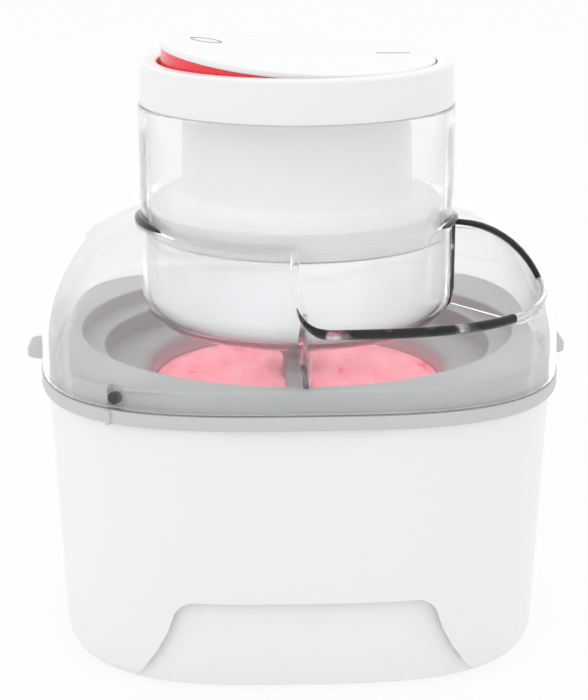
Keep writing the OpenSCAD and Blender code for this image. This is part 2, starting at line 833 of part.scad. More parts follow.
module screw_up(z_face, shank) {
  translate([0, 0, z_face - screw_head_h]) cylinder(r = screw_head_r, h = screw_head_h - 0.02, $fn = 24);
  translate([0, 0, z_face - screw_head_h]) cylinder(r = screw_r - run_gap, h = shank, $fn = 24);
}

module gearbox_screws() {
  color("silver")
    tube_places()
      translate([0, 0, plate_z + plate_t]) mirror([0, 0, 1]) screw_up(0, screw_len);
}

module housing_screws() {
  color("silver") housing_posts() screw_up(plate_z, screw_len);
}

module motor_screws() {
  color("silver") motor_screw_places() screw_up(plate_z, motor_screw_len);
}

module motor_can() {
  z0 = plate_z + plate_t + 0.02;
  edge = 2;
  color("darkgray")
    difference() {
      translate([motor_x, motor_y, 0])
        rotate_extrude($fn = 64)
          polygon(concat(
            [[0, z0], [motor_r, z0]],
            arc(motor_r - edge, z0 + motor_h - edge, edge, 0, 90, 4),
            [[8, z0 + motor_h], [8, z0 + motor_h + 3], [0, z0 + motor_h + 3]]
          ));
      translate([motor_x, motor_y, z0 - 1]) cylinder(r = rotor_r + run_gap, h = motor_h - 4, $fn = 32);
      motor_screw_places() translate([0, 0, z0 - 1]) cylinder(r = screw_r, h = 7, $fn = 24);
    }
}

// ---------- Gears ----------
function inv_angle(a) = tan(a) * 180 / PI - a;
// Half the angle of a tooth at radius r, for pitch radius rp and base radius rb
function tooth_half(r, rp, rb, z) =
  90 / z - (backlash / 4 / rp) * 180 / PI + inv_angle(gear_alpha) - inv_angle(acos(min(1, rb / r)));

function gear_outline(z, m) =
  let (rp = m * z / 2, rb = rp * cos(gear_alpha), ro = rp + tooth_top * m, rr = rp - tooth_root * m,
       r1 = max(rb, rr + 0.05), steps = 3,
       radii = concat([rr], [for (i = [0 : steps]) r1 + (ro - r1) * i / steps]),
       half = [for (r = radii) tooth_half(max(r, rb), rp, rb, z)])
    [for (k = [0 : z - 1]) let (c = 360 * k / z)
      each concat(
        [for (i = [0 : len(radii) - 1]) radii[i] * [cos(c - half[i]), sin(c - half[i])]],
        [for (i = [len(radii) - 1 : -1 : 0]) radii[i] * [cos(c + half[i]), sin(c + half[i])]]
      )];

module gear(z, m, t) {
  linear_extrude(height = t) polygon(gear_outline(z, m));
}

module output_gear() {
  web_r = out_rp - 5;
  hub_r = shaft_r + 4;
  color("ivory")
    difference() {
      union() {
        translate([0, 0, out_gear_z]) gear(output_teeth, gear_m, out_gear_t);
        translate([0, 0, out_gear_z]) cylinder(r = hub_r, h = out_gear_t + 5, $fn = 48);
      }
      translate([0, 0, out_gear_z + out_gear_t - 2.5])
        difference() {
          cylinder(r = web_r, h = 3, $fn = 64);
          translate([0, 0, -1]) cylinder(r = hub_r, h = 5, $fn = 48);
        }
      translate([0, 0, out_gear_z - 1]) cylinder(r = shaft_r + 0.02, h = 20, $fn = 48);
    }
}

module compound_gear() {
  color("ivory")
    difference() {
      union() {
        translate([wheel_x, 0, out_gear_z - 0.5])
          rotate([0, 0, 180 / small_teeth])
            gear(small_teeth, gear_m, wheel_z - out_gear_z + 1);
        translate([wheel_x, 0, wheel_z])
          rotate([0, 0, motor_bearing])
            gear(wheel_teeth, gear_m, wheel_t);
      }
      translate([wheel_x, 0, out_gear_z - 1]) cylinder(r = axle_r + run_gap, h = 30, $fn = 32);
    }
}

module compound_axle() {
  color("silver")
    translate([wheel_x, 0, cover_floor + 0.02])
      cylinder(r = axle_r - 0.02, h = plate_z + plate_t - cover_floor - 0.02, $fn = 32);
}

module motor_pinion() {
  color("goldenrod")
    difference() {
      translate([motor_x, motor_y, wheel_z - 1])
        rotate([0, 0, motor_bearing + 180 + 180 / pinion_teeth])
          gear(pinion_teeth, gear_m, wheel_t + 2);
      translate([motor_x, motor_y, wheel_z - 2]) cylinder(r = rotor_r + 0.01, h = 20, $fn = 32);
    }
}

module rotor_shaft() {
  color("silver")
    translate([motor_x, motor_y, wheel_z - 1.5])
      cylinder(r = rotor_r, h = plate_z + plate_t + motor_h - 8 - wheel_z, $fn = 32);
}

// Round shaft with a hexagonal end that stands in the paddle's socket
module output_shaft() {
  hex_gap = 0.25;
  hex_top = socket_top + seat_gap;
  color("silver") {
    translate([0, 0, hex_top])
      cylinder(r = shaft_r, h = plate_z + plate_t - hex_top, $fn = 48);
    translate([0, 0, socket_z + seat_gap])
      cylinder(r = shaft_r - hex_gap, h = hex_top - socket_z, $fn = 6);
  }
}

// ---------- Cap ring and rocker ----------
hole_r = rocker_r + rocker_gap;
lug_in = rocker_r - 17;
lug_t = 5;
lug_top_r = rocker_mid_h - rocker_lip - 0.4;

module pivot_bar(y0, y1, r) {
  for (s = [0, 180])
    rotate([0, 0, s])
      translate([0, y1, pivot_z])
        rotate([90, 0, 0])
          cylinder(r = r, h = y1 - y0, $fn = 40);
}

module cap_ring() {
  edge = 1.6;
  lip = 0.8;
  draft = 0.7;
  w = ring_wall;
  color("white")
    difference() {
      union() {
        rotate_extrude($fn = fine)
          polygon(concat(
            [[ring_r - w, ring_z], [ring_r, ring_z]],
            arc(ring_r - draft - edge, ring_top - edge, edge, 0, 90, 5),
            arc(hole_r + lip, ring_top - lip, lip, 90, 180, 4),
            [[hole_r, tray_z + tray_t], [0, tray_z + tray_t], [0, tray_z], [ring_r - w, tray_z]]
          ));
        for (s = [0, 180])
          rotate([0, 0, s])
            translate([-5, lug_in + lug_t + 1, tray_z + 0.5])
              cube([10, lug_t, pivot_z - tray_z - 0.5]);
        pivot_bar(lug_in + lug_t + 1, lug_in + 2 * lug_t + 1, lug_top_r);
      }
      pivot_bar(lug_in - 1, lug_in + 2 * lug_t + 2, pin_r + 0.02);
      // way out for the cord at the back, and room for wires through the tray
      translate([0, hole_r - 4, gland_z()]) rotate([-90, 0, 0]) cylinder(r = gland_r, h = 20, $fn = 40);
      translate([0, -18, tray_z - 1]) cylinder(r = 9, h = 5, $fn = 40);
    }
}

function gland_z() = tray_z + tray_t + gland_r + 2;

module cord_gland() {
  color("gainsboro")
    difference() {
      union() {
        translate([0, ring_r - 8, gland_z()]) rotate([-90, 0, 0]) cylinder(r = gland_r - 0.02, h = 12, $fn = 40);
        translate([0, ring_r + 0.1, gland_z()]) rotate([-90, 0, 0]) cylinder(r = gland_r + 1.5, h = 2, $fn = 40);
      }
      translate([0, ring_r - 10, gland_z()]) rotate([-90, 0, 0]) cylinder(r = gland_r - 2, h = 20, $fn = 32);
    }
}

// Turns a piece drawn level into the rocker's resting tilt, left side up
module rocker_rest() {
  translate([0, 0, pivot_z]) rotate([0, rocker_tilt, 0]) translate([0, 0, -pivot_z]) children();
}

function dish(x) = pivot_z + rocker_mid_h + rocker_dish * pow(x / rocker_r, 2);

module rocker_cap() {
  n = 12;
  top = [for (i = [0 : n]) let (x = rocker_r * (1 - 2 * i / n)) [x * 1.02, dish(x)]];
  under = [for (i = [0 : n]) let (x = rocker_r * (2 * i / n - 1)) [x * 1.02, dish(x) - rocker_lip]];
  color("white")
    rocker_rest()
      difference() {
        union() {
          intersection() {
            rotate([90, 0, 0])
              linear_extrude(height = 2 * rocker_r + 10, center = true)
                polygon(concat(top, under));
            translate([0, 0, pivot_z - 10]) cylinder(r = rocker_r, h = 40, $fn = fine);
          }
          for (s = [0, 180])
            rotate([0, 0, s]) {
              translate([-4, lug_in, pivot_z])
                cube([8, lug_t, rocker_mid_h - rocker_lip + 1]);
            }
          pivot_bar(lug_in, lug_in + lug_t, 4);
        }
        pivot_bar(lug_in - 1, lug_in + lug_t + 0.5, pin_r + run_gap);
      }
}

module rocker_skirt() {
  n = 12;
  gap = 0.05;
  in_r = rocker_r - 3.2;
  top = [for (i = [0 : n]) let (x = rocker_r * (1 - 2 * i / n)) [x * 1.02, dish(x) - rocker_lip - gap]];
  color("crimson")
    rocker_rest()
      intersection() {
        difference() {
          translate([0, 0, pivot_z - skirt_drop]) cylinder(r = rocker_r - 0.4, h = 30, $fn = fine);
          translate([0, 0, pivot_z - skirt_drop - 1]) cylinder(r = in_r, h = 32, $fn = fine);
        }
        rotate([90, 0, 0])
          linear_extrude(height = 2 * rocker_r + 10, center = true)
            polygon(concat(top, [[-rocker_r - 5, pivot_z - skirt_drop], [rocker_r + 5, pivot_z - skirt_drop]]));
      }
}

module rocker_pivot_pins() {
  color("silver") pivot_bar(lug_in - 0.5, lug_in + 2 * lug_t + 0.8, pin_r);
}

plunger_r = 2.5;
plunger_top = pivot_z + (rocker_mid_h - rocker_lip + rocker_dish * pow(plunger_x / rocker_r, 2)) * cos(rocker_tilt)
  - plunger_x * sin(rocker_tilt) - seat_gap;
switch_h = 8;

module switch_body() {
  z0 = tray_z + tray_t + 0.02;
  color("dimgray")
    difference() {
      translate([plunger_x - 10, -6, z0]) cube([20, 12, switch_h]);
      translate([plunger_x, 0, z0 + 1.2]) cylinder(r = plunger_r + run_gap, h = 20, $fn = 32);
    }
}

module switch_plunger() {
  z0 = tray_z + tray_t + 1.6;
  color("orangered")
    translate([plunger_x, 0, z0]) cylinder(r = plunger_r, h = plunger_top - z0, $fn = 32);
}

base_shell();
base_floor();
rubber_feet();
base_screws();
bowl_rim();
bowl_liner();
bowl_jacket();
coolant_gel();
filler_plug();
paddle();
clear_lid();
motor_housing();
motor_lower_cover();
cap_ring();
cord_gland();
gear_plate();
gearbox_screws();
housing_screws();
motor_screws();
motor_can();
output_bush();
compound_axle();
rotor_shaft();
motor_pinion();
compound_gear();
output_gear();
output_shaft();
rocker_cap();
rocker_skirt();
rocker_pivot_pins();
switch_body();
switch_plunger();
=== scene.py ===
# %% [markdown]
# # An ice cream maker, from the ground up
# The maker is a small countertop machine: a white base holds a grey freezer bowl, a clear lid
# stands on the bowl, and a motor unit hangs in the middle of the lid. The frame that is loaded
# here already has every piece at its real size. This lesson gives the pieces their finish, and
# models again those whose curves are seen close up. Everything is in metres, and +Z is up.

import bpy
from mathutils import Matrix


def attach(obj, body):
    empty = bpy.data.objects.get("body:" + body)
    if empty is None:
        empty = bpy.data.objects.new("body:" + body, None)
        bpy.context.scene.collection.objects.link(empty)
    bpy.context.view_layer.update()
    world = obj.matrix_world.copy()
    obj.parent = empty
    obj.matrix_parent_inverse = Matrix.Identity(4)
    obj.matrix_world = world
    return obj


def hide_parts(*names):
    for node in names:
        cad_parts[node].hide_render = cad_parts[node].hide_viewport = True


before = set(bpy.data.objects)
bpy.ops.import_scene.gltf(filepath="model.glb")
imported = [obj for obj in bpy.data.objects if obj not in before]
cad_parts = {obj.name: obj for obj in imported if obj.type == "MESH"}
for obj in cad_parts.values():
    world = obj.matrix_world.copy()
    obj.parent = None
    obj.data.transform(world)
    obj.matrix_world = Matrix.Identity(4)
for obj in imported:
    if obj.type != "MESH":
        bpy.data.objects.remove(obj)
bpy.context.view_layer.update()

# %% [markdown]
# Sizes are easier to read in millimetres, so the lists below are in millimetres and `MM` turns
# them into metres when a mesh is made. Colours are picked as screen values from 0 to 255, but
# a shader wants linear light, so `tone` converts them.

# %% Units and colours
import math

import bpy
from mathutils import Matrix, Vector, noise

MM = 0.001


def tone(red, green, blue):
    """A screen colour as the linear colour that a shader takes."""
    linear = []
    for value in (red, green, blue):
        share = value / 255
        linear.append(share / 12.92 if share <= 0.04045 else ((share + 0.055) / 1.055) ** 2.4)
    return (*linear, 1.0)


print("white plastic in linear light:", tone(240, 240, 240))

# %% [markdown]
# ## Camera
# A product camera stands a little above the machine and looks down by 17 degrees. A long lens
# keeps the sides upright. The sensor is fitted to the picture's height, so the lens length
# alone sets how large the machine appears. It stands slightly to the left of the front.

# %% Camera
CAMERA_PLACE = (-0.02805, -0.7579, 0.3534)
CAMERA_PITCH = math.radians(73)
CAMERA_TURN = math.radians(-2.12)
LENS = 87.43
SENSOR = 36.0
FRAMING_SHIFT = -0.0041

bpy.ops.object.camera_add(location=CAMERA_PLACE, rotation=(CAMERA_PITCH, 0, CAMERA_TURN))
camera = bpy.context.object
camera.data.sensor_fit = "VERTICAL"
camera.data.sensor_height = SENSOR
camera.data.lens = LENS
camera.data.shift_x = FRAMING_SHIFT
bpy.context.scene.camera = camera
print("the camera's field of view:", round(math.degrees(camera.data.angle_y), 1), "degrees")

# %% [markdown]
# A shader is a tree of nodes, for a lamp-lit world just as for a plastic. Each input of a node
# takes a plain value or the output of an earlier node, and `set_inputs` fills in either kind.

# %% Shader nodes
WHITE = (1, 1, 1, 1)


def set_inputs(node, inputs):
    """Fills a node's inputs, each with a value or with the output of another node."""
    for socket, value in inputs.items():
        if isinstance(value, bpy.types.NodeSocket):
            node.id_data.links.new(value, node.inputs[socket])
        else:
            node.inputs[socket].default_value = value
    return node


def add_node(tree, kind, inputs):
    """A new node of a kind in a shader's tree, with its inputs filled in."""
    return set_inputs(tree.nodes.new("ShaderNode" + kind), inputs)


def mixed_shader(tree, share, first, second):
    """A blend of two shaders: all the first at a share of 0, and all the second at 1."""
    return add_node(tree, "MixShader", {0: share, 1: first.outputs[0], 2: second.outputs[0]})


def new_finish(name, colour, roughness):
    """A material with a Principled shader of one colour and roughness, to build on."""
    material = bpy.data.materials.new(name)
    material.use_nodes = True
    shader = material.node_tree.nodes["Principled BSDF"]
    set_inputs(shader, {"Base Color": colour, "Roughness": roughness})
    return material, shader


# %% [markdown]
# ## Light
# A white machine needs soft light that still leaves a little shade on it. The world gives an
# even light from all round. One large lamp stands to the left, a weaker one to the right, and
# a third hangs overhead; the lamps themselves stay out of reflections. For rays that see the
# background, also through glass or in a reflection, the world is plain white at a strength of 1.

# %% World and lamps
WORLD_LIGHT = 0.84
LAMPS = {
    "lamp_left": {"place": (-1.3, -1.0, 1.3), "size": 1.2, "power": 5},
    "lamp_right": {"place": (1.5, -0.7, 1.0), "size": 1.2, "power": 2},
    "lamp_overhead": {"place": (0.1, 0.3, 1.9), "size": 1.0, "power": 4},
}
LAMP_TARGET = Vector((0, 0, 0.12))


def background_share(tree):
    """A value of 1 for rays that see the background: from the camera, in gloss or through glass."""
    path = add_node(tree, "LightPath", {})
    share = path.outputs["Is Camera Ray"]
    for name in ("Is Glossy Ray", "Is Transmission Ray"):
        larger = add_node(tree, "Math", {0: share, 1: path.outputs[name]})
        larger.operation = "MAXIMUM"
        share = larger.outputs[0]
    return share


world = bpy.data.worlds.new("studio")
world.use_nodes = True
bpy.context.scene.world = world
sky = world.node_tree
light_sky = set_inputs(sky.nodes["Background"], {"Color": WHITE, "Strength": WORLD_LIGHT})
seen_sky = add_node(sky, "Background", {"Color": WHITE, "Strength": 1.0})
sky_mix = mixed_shader(sky, background_share(sky), light_sky, seen_sky)
set_inputs(sky.nodes["World Output"], {"Surface": sky_mix.outputs[0]})


def soft_lamp(name, place, size, power):
    """A square lamp that is aimed at the machine and stays out of reflections."""
    bpy.ops.object.light_add(type="AREA", location=place)
    light = bpy.context.object
    light.name = name
    light.data.size = size
    light.data.energy = power
    light.visible_glossy = False
    light.visible_transmission = False
    toward = LAMP_TARGET - light.location
    light.rotation_euler = toward.to_track_quat("-Z", "Y").to_euler()
    return light


for lamp_name, lamp in LAMPS.items():
    soft_lamp(lamp_name, **lamp)
print("lamps:", ", ".join(LAMPS))

bpy.context.scene.view_settings.view_transform = "Standard"

# %% [markdown]
# ## Floor
# The floor is a plain white disc, wide enough to fill the picture up to its top edge. Its
# colour is mostly a plain white for the camera, with a share of real shading left in, so that
# the machine still casts a soft shadow on it.

# %% Floor
FLOOR_RADIUS = 12.0
FLOOR_POINTS = 96
FLOOR_COLOUR = (0.9, 0.9, 0.9, 1)
FLOOR_ROUGHNESS = 0.9
PLAIN_WHITE_SHARE = 0.9

bpy.ops.object.select_all(action="DESELECT")
bpy.ops.mesh.primitive_circle_add(vertices=FLOOR_POINTS, radius=FLOOR_RADIUS, fill_type="NGON")
floor = bpy.context.object
floor.name = "floor"
floor_paint, paint_shader = new_finish("floor_white", FLOOR_COLOUR, FLOOR_ROUGHNESS)
paint = floor_paint.node_tree
glow = add_node(paint, "Emission", {"Strength": 1.0})
glow_share = add_node(paint, "Math", {0: background_share(paint), 1: PLAIN_WHITE_SHARE})
glow_share.operation = "MULTIPLY"
floor_mix = mixed_shader(paint, glow_share.outputs[0], paint_shader, glow)
set_inputs(paint.nodes["Material Output"], {"Surface": floor_mix.outputs[0]})
floor.data.materials.append(floor_paint)
print("floor radius:", FLOOR_RADIUS, "m")

# %% [markdown]
# ## Tools for round and squarish shapes
# Most mouldings here are a stack of outlines: a squarish one at the foot may turn into a
# round one at the top. By hand, a circle is extruded upwards once for each outline, and each
# ring is then scaled to its place. `ring_stack` does the same. It extrudes the circle by one
# unit at a time, so a point's height says which ring it belongs to, and then moves every
# point to its ring's outline. `closed` joins the last ring to the first, as for a thick wall.

# %% Stack of rings
ROUND = 256


def round_outline(radius):
    """An outline with the same radius at every turn."""
    return lambda turn: radius


def squarish(half_width, half_depth, power):
    """A rounded rectangle's radius at a turn; a power of 2 is an ellipse, and more is squarer."""

    def radius(turn):
        across = abs(math.cos(turn) / half_width) ** power
        along = abs(math.sin(turn) / half_depth) ** power
        return (across + along) ** (-1 / power)

    return radius


def ring_stack(name, rings, closed=False, count=ROUND):
    """A mesh through rings, each a pair of height and outline in millimetres."""
    bpy.ops.object.select_all(action="DESELECT")
    bpy.ops.mesh.primitive_circle_add(vertices=count, radius=1)
    piece = bpy.context.object
    piece.name = name
    piece.data.name = name
    bpy.ops.object.mode_set(mode="EDIT")
    bpy.ops.mesh.select_all(action="SELECT")
    for _ in rings[1:]:
        bpy.ops.mesh.extrude_region_move(TRANSFORM_OT_translate={"value": (0, 0, 1)})
    bpy.ops.mesh.select_all(action="DESELECT")
    bpy.ops.mesh.select_mode(type="EDGE")
    bpy.ops.mesh.select_non_manifold()
    if closed:
        bpy.ops.mesh.bridge_edge_loops()
    else:
        bpy.ops.mesh.edge_face_add()
    bpy.ops.object.mode_set(mode="OBJECT")
    for vertex in piece.data.vertices:
        height, outline = rings[round(vertex.co.z)]
        turn = math.atan2(vertex.co.y, vertex.co.x)
        reach = outline(turn)
        vertex.co = Vector((reach * math.cos(turn), reach * math.sin(turn), height)) * MM
    turn_outwards(piece)
    return piece


def turn_outwards(piece):
    """Every face of a closed piece points outwards."""
    bpy.context.view_layer.objects.active = piece
    bpy.ops.object.mode_set(mode="EDIT")
    bpy.ops.mesh.select_all(action="SELECT")
    bpy.ops.mesh.normals_make_consistent(inside=False)
    bpy.ops.object.mode_set(mode="OBJECT")


def turned(points):
    """Rings for a revolved profile of (radius, height) points."""
    return [(height, round_outline(radius)) for radius, height in points]


def arc(centre_r, centre_z, radius, start, end, steps=6):
    """Points of a profile round a corner, with angles in degrees."""
    points = []
    for step in range(steps + 1):
        angle = math.radians(start + (end - start) * step / steps)
        points.append((centre_r + radius * math.cos(angle), centre_z + radius * math.sin(angle)))
    return points


print("outlines have", ROUND, "points")

# %% [markdown]
# Some shapes are a flat outline with a thickness, such as the arch cutter or a fin. A filled
# circle with one point for each corner is moved to the outline and extruded. Pieces are then
# joined or cut with the Boolean modifier, and `ease_edges` rounds the sharp edges that are left.

# %% Prisms, cuts and edges
SHARP_ANGLE = 32


def prism(name, points, thickness, place):
    """A flat outline extruded along its own third axis; place turns (u, v, w) into x, y, z."""
    bpy.ops.object.select_all(action="DESELECT")
    bpy.ops.mesh.primitive_circle_add(vertices=len(points), radius=1, fill_type="NGON")
    piece = bpy.context.object
    piece.name = name
    piece.data.name = name
    for vertex, (u, v) in zip(piece.data.vertices, points):
        vertex.co = (u, v, 0)
    bpy.ops.object.mode_set(mode="EDIT")
    bpy.ops.mesh.select_all(action="SELECT")
    bpy.ops.mesh.extrude_region_move(TRANSFORM_OT_translate={"value": (0, 0, thickness)})
    bpy.ops.object.mode_set(mode="OBJECT")
    for vertex in piece.data.vertices:
        vertex.co = Vector(place(*vertex.co)) * MM
    turn_outwards(piece)
    return piece


def pick(piece):
    """Selects one piece alone and makes it the active one."""
    bpy.ops.object.select_all(action="DESELECT")
    piece.select_set(True)
    bpy.context.view_layer.objects.active = piece


def apply_modifier(piece, modifier):
    """Applies one modifier to a piece."""
    pick(piece)
    bpy.ops.object.modifier_apply(modifier=modifier.name)


def combine(piece, other, operation):
    """Joins other to piece, cuts it away or keeps what they share, and removes other."""
    tool = piece.modifiers.new("combine", "BOOLEAN")
    tool.operation = operation
    tool.solver = "EXACT"
    tool.object = other
    apply_modifier(piece, tool)
    bpy.data.objects.remove(other)
    return piece


def ease_edges(piece, width, segments=2, angle=SHARP_ANGLE):
    """Rounds the edges that are sharper than the angle, by a width in millimetres."""
    tool = piece.modifiers.new("ease", "BEVEL")
    tool.width = width * MM
    tool.segments = segments
    tool.limit_method = "ANGLE"
    tool.angle_limit = math.radians(angle)
    tool.use_clamp_overlap = True
    apply_modifier(piece, tool)
    return piece


def at_bearing(turn, out, across, up):
    """A place, from distances along and across a bearing that is given as a turn."""
    along = Vector((math.cos(turn), math.sin(turn), 0))
    side = Vector((-math.sin(turn), math.cos(turn), 0))
    return along * out + side * across + Vector((0, 0, up))


def turn_about(piece, angle, centre, axis):
    """Turns a piece's mesh about a line through centre, by an angle in degrees."""
    spin = Matrix.Rotation(math.radians(angle), 4, axis)
    there = Matrix.Translation(Vector(centre) * MM)
    piece.data.transform(there @ spin @ there.inverted())
    return piece


# %% [markdown]
# ## Finishes
# Moulded plastic is never one flat colour: it has a faint orange-peel surface and its gloss
# varies a little. Each finish below is a Principled shader with noise on Object coordinates
# behind its colour, its roughness and its bump, at the scale of that material. A value that
# is the same all over is set on the shader's own socket.

# %% Grain, colour, gloss and bump
def grain(shader, scale, detail, stretch=(1, 1, 1)):
    """Noise on Object coordinates; scale is in cells per metre."""
    tree = shader.id_data
    place = add_node(tree, "TexCoord", {}).outputs["Object"]
    mapped = add_node(tree, "Mapping", {"Vector": place, "Scale": stretch}).outputs["Vector"]
    cells = add_node(tree, "TexNoise", {"Vector": mapped, "Scale": scale, "Detail": detail})
    return cells.outputs["Fac"]


def blend_colours(shader, source, low, high, start=0.3, end=0.7):
    """Drives the base colour from low to high as the source rises from start to end."""
    ramp = add_node(shader.id_data, "ValToRGB", {"Fac": source})
    for stop, (position, colour) in zip(ramp.color_ramp.elements, ((start, low), (end, high))):
        stop.position = position
        stop.color = colour
    set_inputs(shader, {"Base Color": ramp.outputs["Color"]})
    return ramp


def vary_roughness(shader, source, low, high):
    """Drives the roughness between low and high."""
    spread = add_node(shader.id_data, "MapRange", {
        "Value": source, "From Min": 0.3, "From Max": 0.7, "To Min": low, "To Max": high,
    })
    set_inputs(shader, {"Roughness": spread.outputs["Result"]})


def raise_surface(shader, source, height):
    """Bump from the source; height is in millimetres."""
    bump = add_node(shader.id_data, "Bump", {
        "Height": source, "Strength": 1.0, "Distance": height * MM,
    })
    set_inputs(shader, {"Normal": bump.outputs["Normal"]})


# %% Plastics
def moulded_plastic(name, colour, shade, roughness, peel=0.002, peel_scale=900, coat=0.0):
    """Moulded plastic: slight colour drift, uneven gloss and a faint orange peel."""
    material, shader = new_finish(name, colour, roughness)
    blend_colours(shader, grain(shader, 5, 1), shade, colour, 0.2, 0.8)
    vary_roughness(shader, grain(shader, 30, 1), roughness * 0.96, roughness * 1.05)
    raise_surface(shader, grain(shader, peel_scale, 2), peel)
    set_inputs(shader, {"Coat Weight": coat, "Coat Roughness": 0.05})
    return material


white_gloss = moulded_plastic("white_gloss", tone(246, 246, 246), tone(245, 245, 246), 0.3, 0.001, coat=0.2)
# painted shade: the grey of the arch's step stands in for the shade along the arch's edge
arch_painted_shade = moulded_plastic("arch_painted_shade", tone(172, 172, 173), tone(166, 166, 167), 0.4)
white_inner = moulded_plastic("white_inner", tone(238, 238, 237), tone(235, 235, 234), 0.5)
bowl_grey = moulded_plastic("bowl_grey", tone(205, 206, 206), tone(203, 204, 204), 0.42, 0.006)
paddle_grey = moulded_plastic("paddle_grey", tone(150, 151, 152), tone(144, 145, 147), 0.45, 0.01)
switch_red = moulded_plastic("switch_red", tone(252, 48, 64), tone(247, 40, 58), 0.25, coat=0.4)
switch_dark = moulded_plastic("switch_dark", tone(46, 46, 48), tone(38, 38, 40), 0.5)
gear_nylon = moulded_plastic("gear_nylon", tone(236, 232, 218), tone(228, 223, 206), 0.48)
coolant = moulded_plastic("coolant", tone(150, 190, 222), tone(135, 178, 214), 0.35)
mark_grey = moulded_plastic("mark_grey", tone(140, 140, 142), tone(132, 132, 134), 0.5)
foot_rubber = moulded_plastic("foot_rubber", tone(84, 84, 86), tone(74, 74, 76), 0.8, 0.03, 1500)

# %% [markdown]
# ## Clear plastic
# A clear wall shows only by what it bends and mirrors. Solid acrylic bends light by 1.49, and
# a thin wall of it looks heavy in a white room, so the lid bends light less and lets a small
# share pass straight on. A shadow ray always passes, so that the lamps reach what is under the
# lid. Where a clear moulding is thick, it would bend dark and light from all round into streaks;
# here they are painted reflections. Noise between a dark and a light tint draws them in the
# colour, and stretching the noise lays them along the edge.

# %% Clear plastic
ACRYLIC_BENDING = 1.49
EDGE_GLOSS = 0.25


def clear_shader(name, bending, gloss, see_through):
    """A clear material that lets a share of light pass straight on, and all of a shadow ray."""
    material, shader = new_finish(name, WHITE, 0.01)
    set_inputs(shader, {
        "Transmission Weight": 1.0, "IOR": bending,
        "Coat Weight": gloss, "Coat IOR": 1.5, "Coat Roughness": 0.02,
    })
    vary_roughness(shader, grain(shader, 20, 1), 0.008, 0.014)
    tree = material.node_tree
    path = add_node(tree, "LightPath", {})
    passing = add_node(tree, "BsdfTransparent", {"Color": WHITE})
    lighter = mixed_shader(tree, see_through, shader, passing)
    mix = mixed_shader(tree, path.outputs["Is Shadow Ray"], lighter, passing)
    set_inputs(tree.nodes["Material Output"], {"Surface": mix.outputs[0]})
    return material, shader


def clear_moulding(name, bending, gloss, see_through=0.0):
    """Clear plastic, by how far it bends light, its mirror coat and its share of plain sight."""
    material, shader = clear_shader(name, bending, gloss, see_through)
    drift = grain(shader, 4, 1)
    blend_colours(shader, drift, tone(251, 252, 253), tone(254, 254, 254), 0.2, 0.8)
    return material


def painted_edge_streaks(name, dark, light, scale, start, end, stretch=(1, 1, 1), bending=1.3):
    """The thick edge of a clear moulding, with painted reflections as streaks between two tints."""
    material, shader = clear_shader(name, bending, EDGE_GLOSS, 0.0)
    blend_colours(shader, grain(shader, scale, 3, stretch), dark, light, start, end)
    return material


clear_plastic = clear_moulding("clear_plastic", 1.14, 1.0, 0.06)
clear_bead = clear_moulding("clear_bead", ACRYLIC_BENDING, 0.0)
# painted reflection: dark streaks with light glints for thick clear beads, at the opening and the collar
dark_painted_reflection = painted_edge_streaks("dark_painted_reflection", tone(38, 38, 40), tone(225, 226, 228), 70, 0.6, 0.66)
# painted reflection and highlights: purple-grey and light streaks, laid upright, for the left fin
smoky_painted_reflection = painted_edge_streaks(
    "smoky_painted_reflection", tone(112, 98, 104), tone(236, 232, 234), 420, 0.42, 0.56,
    stretch=(1, 1, 0.1), bending=1.08,
)
# painted shade: the clear lock pins are drawn dark grey, as they look through the skirt
pin_painted_shade = painted_edge_streaks(
    "pin_painted_shade", tone(64, 64, 66), tone(120, 120, 122), 700, 0.4, 0.6, bending=1.1
)
# painted refraction and shade: dark mauve streaks for the well's foot and the skirt's bottom edge
lid_painted_refraction = painted_edge_streaks("lid_painted_refraction", tone(96, 78, 84), tone(150, 130, 138), 60, 0.3, 0.7)

# %% [markdown]
# ## Metals
# Machined and drawn metal keeps fine lines from its making. Noise that is stretched along one
# axis gives them, and they show in the colour, the gloss and the bump together.

# %% Metals
LINE_STRETCH = (1, 1, 40)


def worked_metal(name, colour, shade, roughness):
    """Metal with fine lines left by its making."""
    material, shader = new_finish(name, colour, roughness)
    set_inputs(shader, {"Metallic": 1.0})
    lines = grain(shader, 220, 4, LINE_STRETCH)
    blend_colours(shader, lines, shade, colour)
    vary_roughness(shader, lines, roughness * 0.75, roughness * 1.3)
    raise_surface(shader, lines, 0.006)
    return material


liner_metal = worked_metal("liner_metal", tone(205, 207, 209), tone(188, 190, 193), 0.35)
steel = worked_metal("steel", tone(190, 192, 195), tone(165, 167, 170), 0.25)
brass = worked_metal("brass", tone(205, 170, 100), tone(186, 150, 84), 0.35)
motor_steel = worked_metal("motor_steel", tone(150, 152, 156), tone(132, 134, 138), 0.4)
print("finishes:", len(bpy.data.materials))

# %% [markdown]
# ## Finishing a piece
# A finished piece is smoothed, gets its material, rides on the body that it moves with, and
# stands for the plain solid in the frame. Pieces that the frame already shapes well are copied,
# their loose triangles merged and joined into flat faces, and their edges eased.

# %% Finish and copy
SMOOTH_ANGLE = 32


def finish_piece(piece, material, body, nodes=(), smooth=SMOOTH_ANGLE):
    """Smooths, colours and places a piece on its body, and lets it stand for the named nodes."""
    pick(piece)
    bpy.ops.object.shade_smooth_by_angle(angle=math.radians(smooth))
    piece.data.materials.clear()
    piece.data.materials.append(material)
    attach(piece, body)
    if nodes:
        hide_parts(*nodes)
    triangles = sum(len(face.vertices) - 2 for face in piece.data.polygons)
    print(piece.name, "has", triangles, "triangles")
    return piece


MERGE_DISTANCE = 0.004
FLAT_ANGLE = 1


